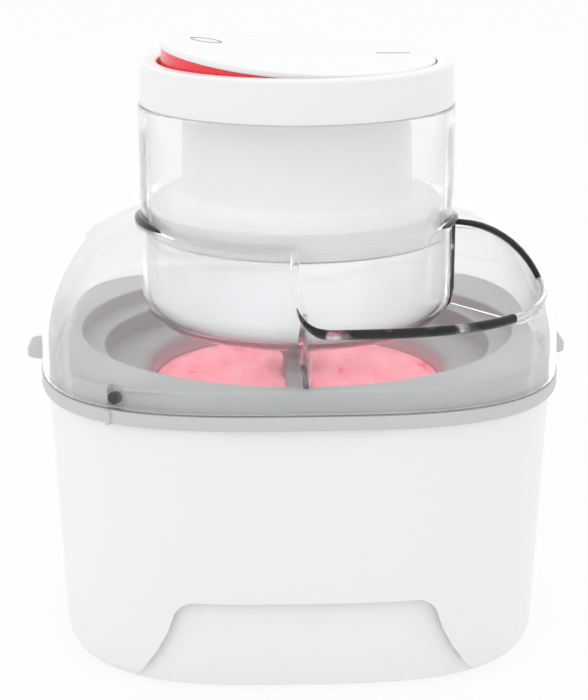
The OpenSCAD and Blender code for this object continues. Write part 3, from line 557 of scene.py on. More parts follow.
def eased_copy(node_name, name, material, body, edge):
    """A copy of a frame node, with its edges eased by a width in millimetres."""
    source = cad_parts[node_name]
    piece = source.copy()
    piece.data = source.data.copy()
    piece.name = name
    piece.data.name = name
    for key in [key for key in piece.keys() if key.startswith("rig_")]:
        del piece[key]
    bpy.context.scene.collection.objects.link(piece)
    piece.parent = None
    piece.matrix_world = Matrix.Identity(4)
    pick(piece)
    bpy.ops.object.mode_set(mode="EDIT")
    bpy.ops.mesh.select_all(action="SELECT")
    bpy.ops.mesh.remove_doubles(threshold=MERGE_DISTANCE * MM)
    bpy.ops.mesh.dissolve_limited(angle_limit=math.radians(FLAT_ANGLE))
    bpy.ops.object.mode_set(mode="OBJECT")
    ease_edges(piece, edge)
    return finish_piece(piece, material, body, [node_name])


def second_finish(piece, material, rule):
    """Gives a second finish to the faces that the rule picks by their place and their normal."""
    piece.data.materials.append(material)
    picked = [face for face in piece.data.polygons if rule(*(face.center / MM), face.normal)]
    for face in picked:
        face.material_index = 1
    print("faces of", piece.name, "in", material.name + ":", len(picked))


def dress(material, *node_names):
    """Gives frame nodes that stay as they are their finish."""
    for node_name in node_names:
        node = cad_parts[node_name]
        for place in node.material_slots:
            place.material = material


# %% [markdown]
# ## Base
# The base is one white moulding, slightly wider at its top, with a rounded foot and a shallow
# arch sunk into its front and its back. The outside and the inside are one stack of rings, out
# and up, over the top edge and down inside.

# %% Base sizes
BASE_FOOT = 1.5
BASE_TOP = 121.2
BASE_HALF_WIDTH = 112.3
BASE_HALF_DEPTH = 109.5
BASE_TAPER = 4.2
BASE_WALL = 3.0
FOOT_EDGE = 7.0
BASE_TOP_EDGE = 0.8
INNER_FOOT = BASE_FOOT + 1
PLAN_POWER = 3.2


def base_outline(height, inset):
    """The base's outline at a height, drawn inwards by inset."""
    lean = BASE_TAPER * (1 - (height - BASE_FOOT) / (BASE_TOP - BASE_FOOT)) + inset
    return squarish(BASE_HALF_WIDTH - lean, BASE_HALF_DEPTH - lean, PLAN_POWER)


def base_ring(height, inset):
    """One ring of the base's wall."""
    return (height, base_outline(height, inset))


# %% Base casing
EDGE_STEPS = 8
WALL_STEPS = 10
foot_edge = [
    (BASE_FOOT + FOOT_EDGE * (1 - math.cos(t)), FOOT_EDGE * (1 - math.sin(t)))
    for t in [math.radians(90 * step / EDGE_STEPS) for step in range(EDGE_STEPS + 1)]
]
wall_start = BASE_FOOT + FOOT_EDGE
wall_rise = BASE_TOP - BASE_TOP_EDGE - wall_start
outer_heights = [wall_start + wall_rise * step / WALL_STEPS for step in range(1, WALL_STEPS + 1)]
casing_rings = [base_ring(BASE_FOOT, FOOT_EDGE + BASE_WALL + 1)]
casing_rings += [base_ring(height, inset) for height, inset in foot_edge]
casing_rings += [base_ring(height, 0) for height in outer_heights]
casing_rings += [base_ring(BASE_TOP - 0.25, 0.25), base_ring(BASE_TOP, BASE_TOP_EDGE)]
casing_rings += [base_ring(height, BASE_WALL) for height in (BASE_TOP, 60, 14)]
casing_rings += [base_ring(7, BASE_WALL + 2), base_ring(INNER_FOOT, FOOT_EDGE + BASE_WALL)]
casing_rings += [base_ring(INNER_FOOT, FOOT_EDGE + BASE_WALL + 1)]
base_casing = ring_stack("base_casing", casing_rings, closed=True)

# %% [markdown]
# The arch has a level top, rounded corners and sides that flare towards the foot. It is cut
# with a prism that is itself hollowed by a slightly smaller base, so that the recess follows
# the curved wall. The same two steps, grown by a wall's thickness, first make the wall that
# stands behind the recess.

# %% Arch
ARCH_HEIGHT = 41.0
ARCH_CORNER = 10.0
ARCH_CORNER_PLACE = 46.5
ARCH_CORNER_END = 20
ARCH_SIDE = [(78.5, -4), (68.8, 10), (63.1, 18.7), (58.5, 28)]
ARCH_DEPTH_FOOT = 2.0
ARCH_DEPTH_TOP = 7.0
CORE_HEIGHTS = (-8, 20, 60, 100)
SKIN_DEPTH = 1
CUTTER_REACH = 130.0
ARCH_EDGE = 0.5
ARCH_EDGE_ANGLE = 25
corner_height = BASE_FOOT + ARCH_HEIGHT - ARCH_CORNER


def arch_outline(grow):
    """The arch's outline, grown all round."""
    edge = ARCH_CORNER + grow
    points = [(-across - grow, height) for across, height in ARCH_SIDE]
    points += arc(-ARCH_CORNER_PLACE, corner_height, edge, 180 - ARCH_CORNER_END, 90, 10)
    points += arc(ARCH_CORNER_PLACE, corner_height, edge, 90, ARCH_CORNER_END, 10)
    points += [(across + grow, height) for across, height in reversed(ARCH_SIDE)]
    return points


def upright(u, v, w):
    """Outline across the machine, thickness from front to back."""
    return (u, w - CUTTER_REACH, v)


def arch_slab(name, grow, extra):
    """What lies outside the sunken face, within the arch's outline."""
    slab = prism(name, arch_outline(grow), 2 * CUTTER_REACH, upright)
    core_rings = []
    for height in CORE_HEIGHTS:
        share = (height - BASE_FOOT) / (BASE_TOP - BASE_FOOT)
        depth = ARCH_DEPTH_FOOT + (ARCH_DEPTH_TOP - ARCH_DEPTH_FOOT) * share
        core_rings.append(base_ring(height, depth + extra))
    return combine(slab, ring_stack("arch_core", core_rings), "DIFFERENCE")


backing = arch_slab("arch_backing", BASE_WALL, BASE_WALL)
skin_rings = [base_ring(height, inset + SKIN_DEPTH) for height, inset in foot_edge[2:]]
skin_rings += [base_ring(60, SKIN_DEPTH), base_ring(90, SKIN_DEPTH)]
combine(backing, ring_stack("arch_skin", skin_rings), "INTERSECT")
combine(base_casing, backing, "UNION")
combine(base_casing, arch_slab("arch_recess", 0, 0), "DIFFERENCE")
ease_edges(base_casing, ARCH_EDGE, angle=ARCH_EDGE_ANGLE)
finish_piece(base_casing, white_gloss, "base", ["base_shell"])

# %% [markdown]
# White on white hides the arch's edge in soft light, so the step round it gets a grey finish:
# painted shade, which draws the thin grey line that the step's shading would give.
# A piece can hold two finishes, and each face says which one it takes. The faces of the step
# are found by their place on the front or back and by the way that they are turned.

# %% Line of the arch
STEP_REACH = 80.0
STEP_DISTANCE = 95.0
STEP_TOP = BASE_FOOT + ARCH_HEIGHT + 1
FOOT_ROUNDING_TOP = 9.0
TURNED_IN = 0.3
TURNED_DOWN = 0.15


def on_arch_step(x, y, z, normal):
    """Says if a face of the base is on the step round the arch."""
    near_arch = abs(x) < STEP_REACH and abs(y) > STEP_DISTANCE and z < STEP_TOP
    on_side = -math.copysign(1, x) * normal.x > TURNED_IN
    on_top = z > FOOT_ROUNDING_TOP and normal.z < -TURNED_DOWN
    return near_arch and (on_side or on_top)


# the step's faces take the painted shade
second_finish(base_casing, arch_painted_shade, on_arch_step)

# %% [markdown]
# ## Bowl moulding
# The grey moulding rests on the base with a flat band and two finger tabs. Its squarish rim
# holds a round opening, and two steps lead down to a rolled edge that hooks over the metal
# liner. One closed stack goes up the outside and down the steps, then back underneath.

# %% Bowl moulding
BAND_BOTTOM = 121.5
BAND_TOP = 127.5
BAND_HALF_WIDTH = 115.3
BAND_HALF_DEPTH = 112.5
RIM_TOP = 136.3
RIM_HALF_WIDTH = 108.0
RIM_HALF_DEPTH = 104.5
RIM_POWER = 3.9
RIM_HOLE = 99.2
STEP_ONE = 128.3
STEP_ONE_RADIUS = 88.7
STEP_TWO = 117.8
BOWL_RADIUS = 66.8
ROLL = 6.0
LIP_BOTTOM = 106.0
MOULD_WALL = 3.0
HOLE_EDGE = 1.0
HOLE_FILLET = 1.4
STEP_EDGE = 1.2
STEP_FILLET = 1.6
RIM_EDGE = 1.6
RIM_EDGE_STEPS = 5


def band(inset):
    """The band's outline, drawn inwards."""
    return squarish(BAND_HALF_WIDTH - inset, BAND_HALF_DEPTH - inset, PLAN_POWER)


def rim(inset):
    """The raised rim's outline, drawn inwards."""
    return squarish(RIM_HALF_WIDTH - inset, RIM_HALF_DEPTH - inset, RIM_POWER)


def edge_down(radius, height, edge, steps=6):
    """The rounded edge where a profile turns from level to downwards."""
    return arc(radius + edge, height - edge, edge, 90, 180, steps)


def fillet_in(radius, height, fillet):
    """The rounded corner where a profile turns from downwards to level."""
    return arc(radius - fillet, height + fillet, fillet, 0, -90)


steps_down = edge_down(RIM_HOLE, RIM_TOP, HOLE_EDGE)
steps_down += fillet_in(RIM_HOLE, STEP_ONE, HOLE_FILLET)
steps_down += edge_down(STEP_ONE_RADIUS, STEP_ONE, STEP_EDGE)
steps_down += fillet_in(STEP_ONE_RADIUS, STEP_TWO, STEP_FILLET)
steps_down += edge_down(BOWL_RADIUS, STEP_TWO, ROLL, 10)
steps_down += [(BOWL_RADIUS, LIP_BOTTOM), (BOWL_RADIUS + MOULD_WALL, LIP_BOTTOM)]
underneath = [
    (BOWL_RADIUS + MOULD_WALL, STEP_TWO - ROLL),
    (BOWL_RADIUS + ROLL, STEP_TWO - MOULD_WALL),
    (STEP_ONE_RADIUS + MOULD_WALL, STEP_TWO - MOULD_WALL),
    (STEP_ONE_RADIUS + MOULD_WALL, STEP_ONE - MOULD_WALL),
    (RIM_HOLE + MOULD_WALL, STEP_ONE - MOULD_WALL),
    (RIM_HOLE + MOULD_WALL, RIM_TOP - MOULD_WALL),
]
bowl_rings = [(BAND_BOTTOM, band(0.5)), (BAND_BOTTOM + 0.15, band(0.15))]
bowl_rings += [(BAND_BOTTOM + 0.5, band(0))]
bowl_rings += [(BAND_TOP - 0.6, band(0)), (BAND_TOP - 0.18, band(0.18)), (BAND_TOP, band(0.6))]
bowl_rings += [(BAND_TOP, rim(-1)), (BAND_TOP + 0.3, rim(-0.3)), (BAND_TOP + 1, rim(0))]
for step in range(RIM_EDGE_STEPS + 1):
    angle = math.radians(90 * step / RIM_EDGE_STEPS)
    height = RIM_TOP - RIM_EDGE + RIM_EDGE * math.sin(angle)
    bowl_rings.append((height, rim(RIM_EDGE * (1 - math.cos(angle)))))
bowl_rings += turned(steps_down) + turned(underneath)
bowl_rings += [(RIM_TOP - MOULD_WALL, rim(MOULD_WALL)), (BAND_BOTTOM, rim(MOULD_WALL))]
bowl_moulding = ring_stack("bowl_moulding", bowl_rings, closed=True)

# %% [markdown]
# A finger tab at the left and the right lifts the bowl out. One half of its outline is listed,
# from the band to the tip, and mirrored for the other half. The second tab is the first one
# turned by half a turn.

# %% Finger tabs
TAB_REACH = 123.9
TAB_HALF = 12.5
TAB_CHAMFER = 5.0
TAB_GAP = 0.4
TAB_EDGE = 1.0
half_tab = [
    (BAND_HALF_WIDTH - 4, TAB_HALF + 2),
    (BAND_HALF_WIDTH, TAB_HALF),
    (TAB_REACH - TAB_CHAMFER / 2, TAB_HALF - TAB_CHAMFER / 2),
    (TAB_REACH, TAB_HALF - TAB_CHAMFER),
]
tab_points = [(out, -across) for out, across in half_tab] + half_tab[::-1]
for side in (1, -1):
    tab = prism(
        "finger_tab", tab_points, BAND_TOP - BAND_BOTTOM - 2 * TAB_GAP,
        lambda u, v, w: (side * u, side * v, BAND_BOTTOM + TAB_GAP + w),
    )
    ease_edges(tab, TAB_EDGE, 3)
    combine(bowl_moulding, tab, "UNION")

# %% [markdown]
# Two pins on the lid slide into grooves in the rim: an entry slot from above and a short level
# run, which gets shallower until it ends in the rim's face. Under the front pin a small rib on
# the band, round at its foot, shows where the lid starts.

# %% Lock grooves and pointer
LOCK_BEARING = 231.0
LOCK_HEIGHT = 131.46
LOCK_RADIUS = 2.6
GROOVE_HALF = 3.5
GROOVE_ANGLE = 12.0
GROOVE_DEPTH = 2.6
GROOVE_STEPS = 10
GROOVE_REACH = 30.0
lock_turn = math.radians(LOCK_BEARING)
groove_seat = rim(0)(lock_turn) - GROOVE_DEPTH
groove_bottom = LOCK_HEIGHT - GROOVE_HALF
slot_top = RIM_TOP + 5

for half_turn in (0, math.pi):
    slot_points = [
        (groove_seat, groove_bottom), (groove_seat + GROOVE_REACH, groove_bottom),
        (groove_seat + GROOVE_REACH, slot_top), (groove_seat, slot_top),
    ]
    entry_slot = prism(
        "entry_slot", slot_points, 2 * GROOVE_HALF,
        lambda u, v, w: at_bearing(lock_turn + half_turn, u, w - GROOVE_HALF, v),
    )
    combine(bowl_moulding, entry_slot, "DIFFERENCE")
    run_points = []
    for step in range(GROOVE_STEPS + 1):
        share = step / GROOVE_STEPS
        turn = math.radians(GROOVE_ANGLE * share)
        seat = rim(0)(lock_turn + turn) - GROOVE_DEPTH * (1 - share)
        run_points.append((seat * math.cos(turn), seat * math.sin(turn)))
    run_points += arc(0, 0, groove_seat + GROOVE_REACH, GROOVE_ANGLE, 0, 8)
    level_run = prism(
        "level_run", run_points, 2 * GROOVE_HALF,
        lambda u, v, w: at_bearing(lock_turn + half_turn, u, v, groove_bottom + w),
    )
    combine(bowl_moulding, level_run, "DIFFERENCE")

POINTER_HALF = 1.25
POINTER_FOOT = 120.9
POINTER_THICKNESS = 3.2
POINTER_ROOT = 2.2
POINTER_EDGE = 0.3
pointer_top = BAND_TOP - 0.2
pointer_back = band(0)(lock_turn) - POINTER_ROOT
pointer_points = arc(0, POINTER_FOOT + POINTER_HALF, POINTER_HALF, 180, 360, 8)
pointer_points += [(POINTER_HALF, pointer_top), (-POINTER_HALF, pointer_top)]
pointer = prism(
    "pointer", pointer_points, POINTER_THICKNESS,
    lambda u, v, w: at_bearing(lock_turn, pointer_back + w, u, v),
)
ease_edges(pointer, POINTER_EDGE)
combine(bowl_moulding, pointer, "UNION")
finish_piece(bowl_moulding, bowl_grey, "bowl", ["bowl_rim"])

# %% [markdown]
# ## Clear lid
# The lid is one clear moulding. A squarish skirt rises into a dome, which turns round as it
# meets a tall collar. Inside the collar a well goes down to carry the motor unit. The wall's
# whole section is one closed line, so one closed stack makes it: up the outside, over the
# collar, down the well, and back up under the dome. A chute is then opened at the front right.

# %% Lid sizes
SKIRT_BOTTOM = 127.8
SKIRT_TOP = 136.3
LID_HALF_WIDTH = 114.9
LID_HALF_DEPTH = 112.1
LID_WALL = 2.6
SHOULDER = 186.5
SHOULDER_FLAT = 4.0
COLLAR_RADIUS = 70.8
WELL_RADIUS = 68.2
COLLAR_TOP = 237.7
WELL_FLOOR = 141.7
WELL_EDGE = 11.2
WELL_HOLE = 14.0
DOME_STEPS = 22
COLLAR_FILLET = 1.6
COLLAR_LIP = 0.8
dome_start = COLLAR_RADIUS + SHOULDER_FLAT


def lid_outline(inset):
    """The skirt's outline, drawn inwards."""
    return squarish(LID_HALF_WIDTH - inset, LID_HALF_DEPTH - inset, PLAN_POWER)


def dome_ring(share, inset):
    """A ring of the dome, from the shoulder at share 0 to the skirt at share 1."""
    angle = math.radians(90 * share)
    spread = math.sin(angle)
    half_width = dome_start + (LID_HALF_WIDTH - dome_start) * spread
    half_depth = dome_start + (LID_HALF_DEPTH - dome_start) * spread
    power = 2 + (PLAN_POWER - 2) * spread
    height = SKIRT_TOP + (SHOULDER - inset - SKIRT_TOP) * math.cos(angle)
    return (height, squarish(half_width - inset, half_depth - inset, power))


# %% Lid shell
lid_rings = [(SKIRT_BOTTOM, lid_outline(0.4)), (SKIRT_BOTTOM + 0.4, lid_outline(0))]
lid_rings += [dome_ring(1 - step / DOME_STEPS, 0) for step in range(DOME_STEPS + 1)]
fillet_middle = (COLLAR_RADIUS + COLLAR_FILLET, SHOULDER + COLLAR_FILLET)
lid_rings += turned(arc(*fillet_middle, COLLAR_FILLET, -90, -180))
lip_height = COLLAR_TOP - COLLAR_LIP
lid_rings += turned(arc(COLLAR_RADIUS - COLLAR_LIP, lip_height, COLLAR_LIP, 0, 90, 4))
lid_rings += turned(edge_down(WELL_RADIUS, COLLAR_TOP, COLLAR_LIP, 4))
edge_height = WELL_FLOOR + WELL_EDGE
lid_rings += turned(arc(WELL_RADIUS - WELL_EDGE, edge_height, WELL_EDGE, 0, -90, 10))
lid_rings += turned([(WELL_HOLE, WELL_FLOOR), (WELL_HOLE, WELL_FLOOR - LID_WALL)])
outer_edge = WELL_EDGE + LID_WALL
lid_rings += turned(arc(COLLAR_RADIUS - outer_edge, edge_height, outer_edge, -90, 0, 10))
under_shoulder = SHOULDER - LID_WALL
lid_rings += turned([(COLLAR_RADIUS, under_shoulder - 1), (COLLAR_RADIUS + 0.6, under_shoulder)])
lid_rings += [dome_ring(step / DOME_STEPS, LID_WALL) for step in range(DOME_STEPS + 1)]
lid_rings += [(SKIRT_BOTTOM, lid_outline(LID_WALL))]
lid_shell = ring_stack("lid_shell", lid_rings, closed=True)

# %% [markdown]
# Ingredients go in through an opening at the front right of the dome. Its cutter is a thick
# ring, bisected twice so that a sector of it is left, with a block taken off to round the lower
# left corner. The block is placed by distances along and across the opening's left edge.

# %% Opening
OPENING_HEIGHT = 160.0
OPENING_LEFT = -92.5
OPENING_RIGHT = -11.0
OPENING_CORNER = 14.0
CUTTER_OUT = 200.0
BLOCK_LENGTH = 150
cutter_start = COLLAR_RADIUS + 0.4
cutter_top = SHOULDER + 30
opening_rings = turned([
    (cutter_start, OPENING_HEIGHT), (CUTTER_OUT, OPENING_HEIGHT),
    (CUTTER_OUT, cutter_top), (cutter_start, cutter_top),
])
opening_cutter = ring_stack("opening_cutter", opening_rings, closed=True)
bpy.ops.object.mode_set(mode="EDIT")
for bearing, side in ((OPENING_LEFT, 1), (OPENING_RIGHT, -1)):
    angle = math.radians(bearing)
    across = (side * math.sin(angle), -side * math.cos(angle), 0)
    bpy.ops.mesh.select_all(action="SELECT")
    bpy.ops.mesh.bisect(plane_co=(0, 0, 0), plane_no=across, use_fill=True, clear_outer=True)
bpy.ops.object.mode_set(mode="OBJECT")
turn_outwards(opening_cutter)
left_turn = math.radians(OPENING_LEFT)
corner_top = OPENING_HEIGHT + OPENING_CORNER
corner_points = [(-1, OPENING_HEIGHT - 1), (-1, corner_top)]
corner_points += arc(OPENING_CORNER, corner_top, OPENING_CORNER, 180, 270, 12)
corner_points += [(OPENING_CORNER, OPENING_HEIGHT - 1)]
corner_block = prism(
    "corner_block", corner_points, BLOCK_LENGTH, lambda u, v, w: at_bearing(left_turn, w, u, v)
)
combine(opening_cutter, corner_block, "DIFFERENCE")
combine(lid_shell, opening_cutter, "DIFFERENCE")

# %% [markdown]
# Two clear fins hang beside the opening and guide what is dropped in. Each is a plate from the
# well's wall to the inside of the dome. The left one leans a little, so that it shows its side.

# %% Fins beside the chute
FIN_THICKNESS = 2.4
FIN_EDGE = 0.3
FIN_GAP = 0.15
FIN_STEPS = 12
DOME_SHARE = 0.97
fin_root = COLLAR_RADIUS + 0.2
LEFT_FOOT = [(fin_root, 137.6), (RIM_HOLE + 4, 137.8)]
RIGHT_FOOT = [(fin_root, 147.0), (RIM_HOLE - 6, 141.5), (RIM_HOLE + 4, 139.0)]
LEFT_LEAN = 0.15
LEFT_SKEW = 0.06
left_top = OPENING_HEIGHT - 0.5
right_top = SHOULDER - 4


def chute_fin(name, bearing, foot, top, lean=0.0, skew=0.0):
    """A fin; lean moves it across on its way down, and skew on its way in to the well."""
    turn = math.radians(bearing)
    points = [(fin_root, top)] + foot
    for step in range(FIN_STEPS + 1):
        height, outline = dome_ring(DOME_SHARE - DOME_SHARE * step / FIN_STEPS, LID_WALL + FIN_GAP)
        if foot[-1][1] < height < top:
            points.append((outline(turn), height))

    def into_place(u, v, w):
        drift = lean * (top - v) + skew * (LID_HALF_DEPTH - u)
        return at_bearing(turn, u, w + drift, v)

    plate = prism(name, points, FIN_THICKNESS, into_place)
    return ease_edges(plate, FIN_EDGE)


left_fin = chute_fin("chute_fin_left", OPENING_LEFT, LEFT_FOOT, left_top, LEFT_LEAN, LEFT_SKEW)
# the left fin takes the painted reflection of streaks
finish_piece(left_fin, smoky_painted_reflection, "lid")
right_fin = chute_fin("chute_fin_right", OPENING_RIGHT, RIGHT_FOOT, right_top)
finish_piece(right_fin, clear_plastic, "lid")

# %% [markdown]
# The opening's edge is thickened by a round bead. A bevelled curve follows the edge: down the
# left side, round the corner, along the front lip and up the right side. Each point is placed
# on the middle of the dome's wall, whose radius at a height comes from the dome's own rule.
# The bead is made in four lengths, because its thickness and its painted reflections differ
# along the edge.

# %% Path round the opening
LEFT_DROPS = (0.02, 0.4, 1.4, 3, 5, 7.5)
RIGHT_HEIGHTS = (162, 165, 169, 173, 176.5, 179.5, 182, 183.8, 184.8, 185.18)
LIP_STEPS = 40
DOME_TRIES = 4
bead_end = COLLAR_RADIUS + 0.5
shoulder_middle = SHOULDER - LID_WALL / 2
first_height = SHOULDER - 1.0
last_turn = math.radians(OPENING_RIGHT)


def at_turn(radius, turn, height):
    """A point at a radius, a turn and a height."""
    return Vector((radius * math.cos(turn), radius * math.sin(turn), height))


def on_dome(turn, height):
    """Radius of the middle of the dome's wall at a turn and a height."""
    rise = (height - SKIRT_TOP) / (shoulder_middle - SKIRT_TOP)
    share = math.degrees(math.acos(max(0.0, min(1.0, rise)))) / 90
    return dome_ring(share, LID_WALL / 2)[1](turn)


def dome_point(across, height):
    """A point on the dome at a distance across from the opening's left plane, by a few tries."""
    turn = left_turn
    for _ in range(DOME_TRIES):
        out = math.sqrt(max(0.0, on_dome(turn, height) ** 2 - across ** 2))
        turn = left_turn + math.atan2(across, out)
    return at_bearing(left_turn, out, across, height)


bead_points = [at_bearing(left_turn, bead_end, 0, first_height)]
bead_points += [dome_point(0, shoulder_middle - drop) for drop in LEFT_DROPS]
bead_points += [
    dome_point(across, height)
    for across, height in arc(OPENING_CORNER, corner_top, OPENING_CORNER, 180, 270, 10)
]
first_turn = math.atan2(bead_points[-1].y, bead_points[-1].x)
for step in range(1, LIP_STEPS + 1):
    turn = first_turn + (last_turn - first_turn) * step / LIP_STEPS
    bead_points.append(at_turn(on_dome(turn, OPENING_HEIGHT), turn, OPENING_HEIGHT))
for height in RIGHT_HEIGHTS:
    bead_points.append(at_turn(on_dome(last_turn, height), last_turn, height))
bead_points.append(at_turn(bead_end, last_turn, first_height))
print("points round the opening:", len(bead_points))

# %% Beads
BEAD_RADIUS = 1.75
BEAD_SMOOTH = 60
BEAD_ROUNDNESS = 5
LEFT_END = 14
LIP_START = 9
LIP_DARK_END = 40
LIP_LIGHT_END = 58


def growing(start, growth, most, loss=0.0):
    """A thickness that grows along the bead up to its most, and is then lost again."""
    return lambda share: min(start + growth * share, most - loss * share)


def even(thickness):
    """The same thickness all along the bead."""
    return lambda share: thickness


def edge_bead(name, points, material, thickness):
    """A round bead along points; thickness gives its share of the full radius at each share."""
    bpy.ops.object.select_all(action="DESELECT")
    bpy.ops.curve.primitive_nurbs_path_add()
    bead = bpy.context.object
    bead.name = name
    bead.data.splines.clear()
    line = bead.data.splines.new("POLY")
    line.points.add(len(points) - 1)
    for number, (point, place) in enumerate(zip(line.points, points)):
        point.co = (*(Vector(place) * MM), 1)
        point.radius = thickness(number / (len(points) - 1))
    bead.data.bevel_depth = BEAD_RADIUS * MM
    bead.data.bevel_resolution = BEAD_ROUNDNESS
    bead.data.use_fill_caps = True
    bpy.ops.object.convert(target="MESH")
    bead = bpy.context.object
    bead.data.name = name
    turn_outwards(bead)
    return finish_piece(bead, material, "lid", smooth=BEAD_SMOOTH)


left_edge = bead_points[:LEFT_END]
front_edge = bead_points[LIP_START:LIP_DARK_END]
right_edge = bead_points[LIP_DARK_END - 1:LIP_LIGHT_END]
rear_edge = bead_points[LIP_LIGHT_END - 1:]
edge_bead("edge_bead_left", left_edge, clear_plastic, growing(0.4, 6, 1.4, loss=0.9))
# the front and rear lengths take the painted reflection of dark streaks
edge_bead("edge_bead_front", front_edge, dark_painted_reflection, growing(0.15, 5, 1.22))
edge_bead("edge_bead_right", right_edge, clear_bead, even(1.0))
edge_bead("edge_bead_rear", rear_edge, dark_painted_reflection, even(0.75))

# %% [markdown]
# The plastic is also thick where the dome meets the collar, and where the opening's right side
# runs down the well. Beads that swell in their middle follow the collar at the left and the
# right, and a thin one follows the well's wall down into its rounded foot.

# %% Foot of the collar
FOOT_OUT = 0.9
FOOT_RISE = 0.6
ROOT_BEARING = -9.5
ROOT_LINE = ((0, first_height), (0, 175), (0, 163), (0, 154), (1.2, 148), (3.4, 144.5))
FOOT_STEPS = 24
TIP_THICKNESS = 0.08
SWELL_POWER = 0.7


def foot_line(start, end):
    """Points round the collar's foot from one bearing to another."""
    bearings = [start + (end - start) * step / FOOT_STEPS for step in range(FOOT_STEPS + 1)]
    return [at_turn(foot_radius, math.radians(bearing), foot_height) for bearing in bearings]


def swelling(most):
    """A thickness that is small at both ends and swells to its most between them."""
    return lambda share: TIP_THICKNESS + most * math.sin(math.pi * share) ** SWELL_POWER


foot_radius = COLLAR_RADIUS + FOOT_OUT
foot_height = SHOULDER + FOOT_RISE
root_turn = math.radians(ROOT_BEARING)
root_points = [at_turn(bead_end - tuck, root_turn, height) for tuck, height in ROOT_LINE]
# these beads take the painted reflection of dark streaks
edge_bead("collar_foot_left", foot_line(172, 213), dark_painted_reflection, swelling(1.2))
edge_bead("collar_foot_right", foot_line(-30, 0), dark_painted_reflection, swelling(0.9))
edge_bead("chute_root", root_points, dark_painted_reflection, even(0.5))

# %% [markdown]
# The lock pins are short cylinders on the inside of the skirt, one at the front and one at the
# back, and reach into the grooves of the rim.

# %% Lock pins
PIN_POINTS = 32
PIN_REACH = 1.5
PIN_EDGE = 0.4
pin_start = rim(0)(lock_turn) - PIN_REACH
pin_end = lid_outline(0)(lock_turn) - LID_WALL
pin_middle = (pin_start + pin_end) / 2
for pin_name, half_turn in (("lock_pin_front", 0), ("lock_pin_back", math.pi)):
    bpy.ops.object.select_all(action="DESELECT")
    bpy.ops.mesh.primitive_cylinder_add(
        vertices=PIN_POINTS, radius=LOCK_RADIUS * MM, depth=(pin_end - pin_start) * MM,
        location=at_turn(pin_middle, lock_turn + half_turn, LOCK_HEIGHT) * MM,
        rotation=(0, math.radians(90), lock_turn + half_turn),
    )
    pin = bpy.context.object
    pin.name = pin_name
    bpy.ops.object.transform_apply()
    ease_edges(pin, PIN_EDGE)
    # the pins take the painted shade
    finish_piece(pin, pin_painted_shade, "lid")

# %% [markdown]
# The shell is clear all over, but it is seen through most plastic at the rounded foot of the
# well and along the bottom edge of the skirt. The faces there take a darker finish of painted
# refraction and shade: mauve streaks for the dark and the pink of the mix that would show there.

# %% Finish of the lid shell
WELL_FACES_FROM = 50
WELL_FACES_TOP = 147
TURNED_UNDER = 0.62
SKIRT_EDGE = 0.6


def on_thick_edge(x, y, z, normal):
    """Says if a face of the lid is on the well's rounded foot or the skirt's bottom edge."""
    on_well = WELL_FACES_FROM < math.hypot(x, y) < COLLAR_RADIUS and z < WELL_FACES_TOP
    return (on_well and normal.z < -TURNED_UNDER) or z < SKIRT_BOTTOM + SKIRT_EDGE


finish_piece(lid_shell, clear_plastic, "lid", ["clear_lid"])
# the well's foot and the skirt's edge take the painted refraction
second_finish(lid_shell, lid_painted_refraction, on_thick_edge)

# %% [markdown]
# ## Motor unit
# The motor unit hangs in the well: a deep round cover below, and a housing above with a flange
# and a narrower neck. The cap ring closes it and holds the switch. All three are revolved
# walls, so each is a closed stack of round rings that follows its section.

# %% Lower cover and housing
BODY_RADIUS = 67.0
BODY_BOTTOM = 142.5
BODY_EDGE = 10.0
SEAM = 180.0
SEAM_HALF = 0.2
SEAM_EDGE = 0.4
UNIT_WALL = 2.5
BUSH_HOLE = 6.0
FLANGE_TOP = 193.5
FLANGE_EDGE = 2.0
NECK_RADIUS = 51.4
NECK_FOOT = 52.4
NECK_FILLET = 6.0
TOP_PLATE = 238.2
TOP_PLATE_RADIUS = 66.8
TOP_PLATE_THICK = 2.2

body_inner = BODY_RADIUS - UNIT_WALL
cover_profile = [(BUSH_HOLE, BODY_BOTTOM)]
cover_profile += arc(BODY_RADIUS - BODY_EDGE, BODY_BOTTOM + BODY_EDGE, BODY_EDGE, -90, 0, 12)
cover_top = SEAM - SEAM_HALF
cover_profile += [(BODY_RADIUS, cover_top - SEAM_EDGE), (BODY_RADIUS - SEAM_EDGE, cover_top)]
cover_profile += [(body_inner, cover_top)]
inner_edge = BODY_EDGE - UNIT_WALL
cover_profile += arc(BODY_RADIUS - BODY_EDGE, BODY_BOTTOM + BODY_EDGE, inner_edge, 0, -90, 8)
cover_profile += [(BUSH_HOLE, BODY_BOTTOM + UNIT_WALL)]
lower_cover = ring_stack("lower_cover", turned(cover_profile), closed=True)
finish_piece(lower_cover, white_gloss, "motor_unit", ["motor_lower_cover"])

neck_inner = NECK_FOOT - UNIT_WALL
flange_inner = FLANGE_TOP - UNIT_WALL
plate_height = TOP_PLATE + TOP_PLATE_THICK
housing_foot = SEAM + SEAM_HALF
housing_profile = [(body_inner, housing_foot), (BODY_RADIUS - SEAM_EDGE, housing_foot)]
housing_profile += [(BODY_RADIUS, housing_foot + SEAM_EDGE)]
housing_profile += arc(BODY_RADIUS - FLANGE_EDGE, FLANGE_TOP - FLANGE_EDGE, FLANGE_EDGE, 0, 90)
housing_profile += arc(NECK_FOOT + NECK_FILLET, FLANGE_TOP + NECK_FILLET, NECK_FILLET, -90, -180, 10)
housing_profile += [(NECK_RADIUS, TOP_PLATE - 1), (NECK_RADIUS + 1, TOP_PLATE)]
housing_profile += [(TOP_PLATE_RADIUS, TOP_PLATE), (TOP_PLATE_RADIUS, plate_height)]
housing_profile += [(NECK_RADIUS - UNIT_WALL, plate_height)]
housing_profile += [(neck_inner, FLANGE_TOP + NECK_FILLET), (neck_inner, flange_inner)]
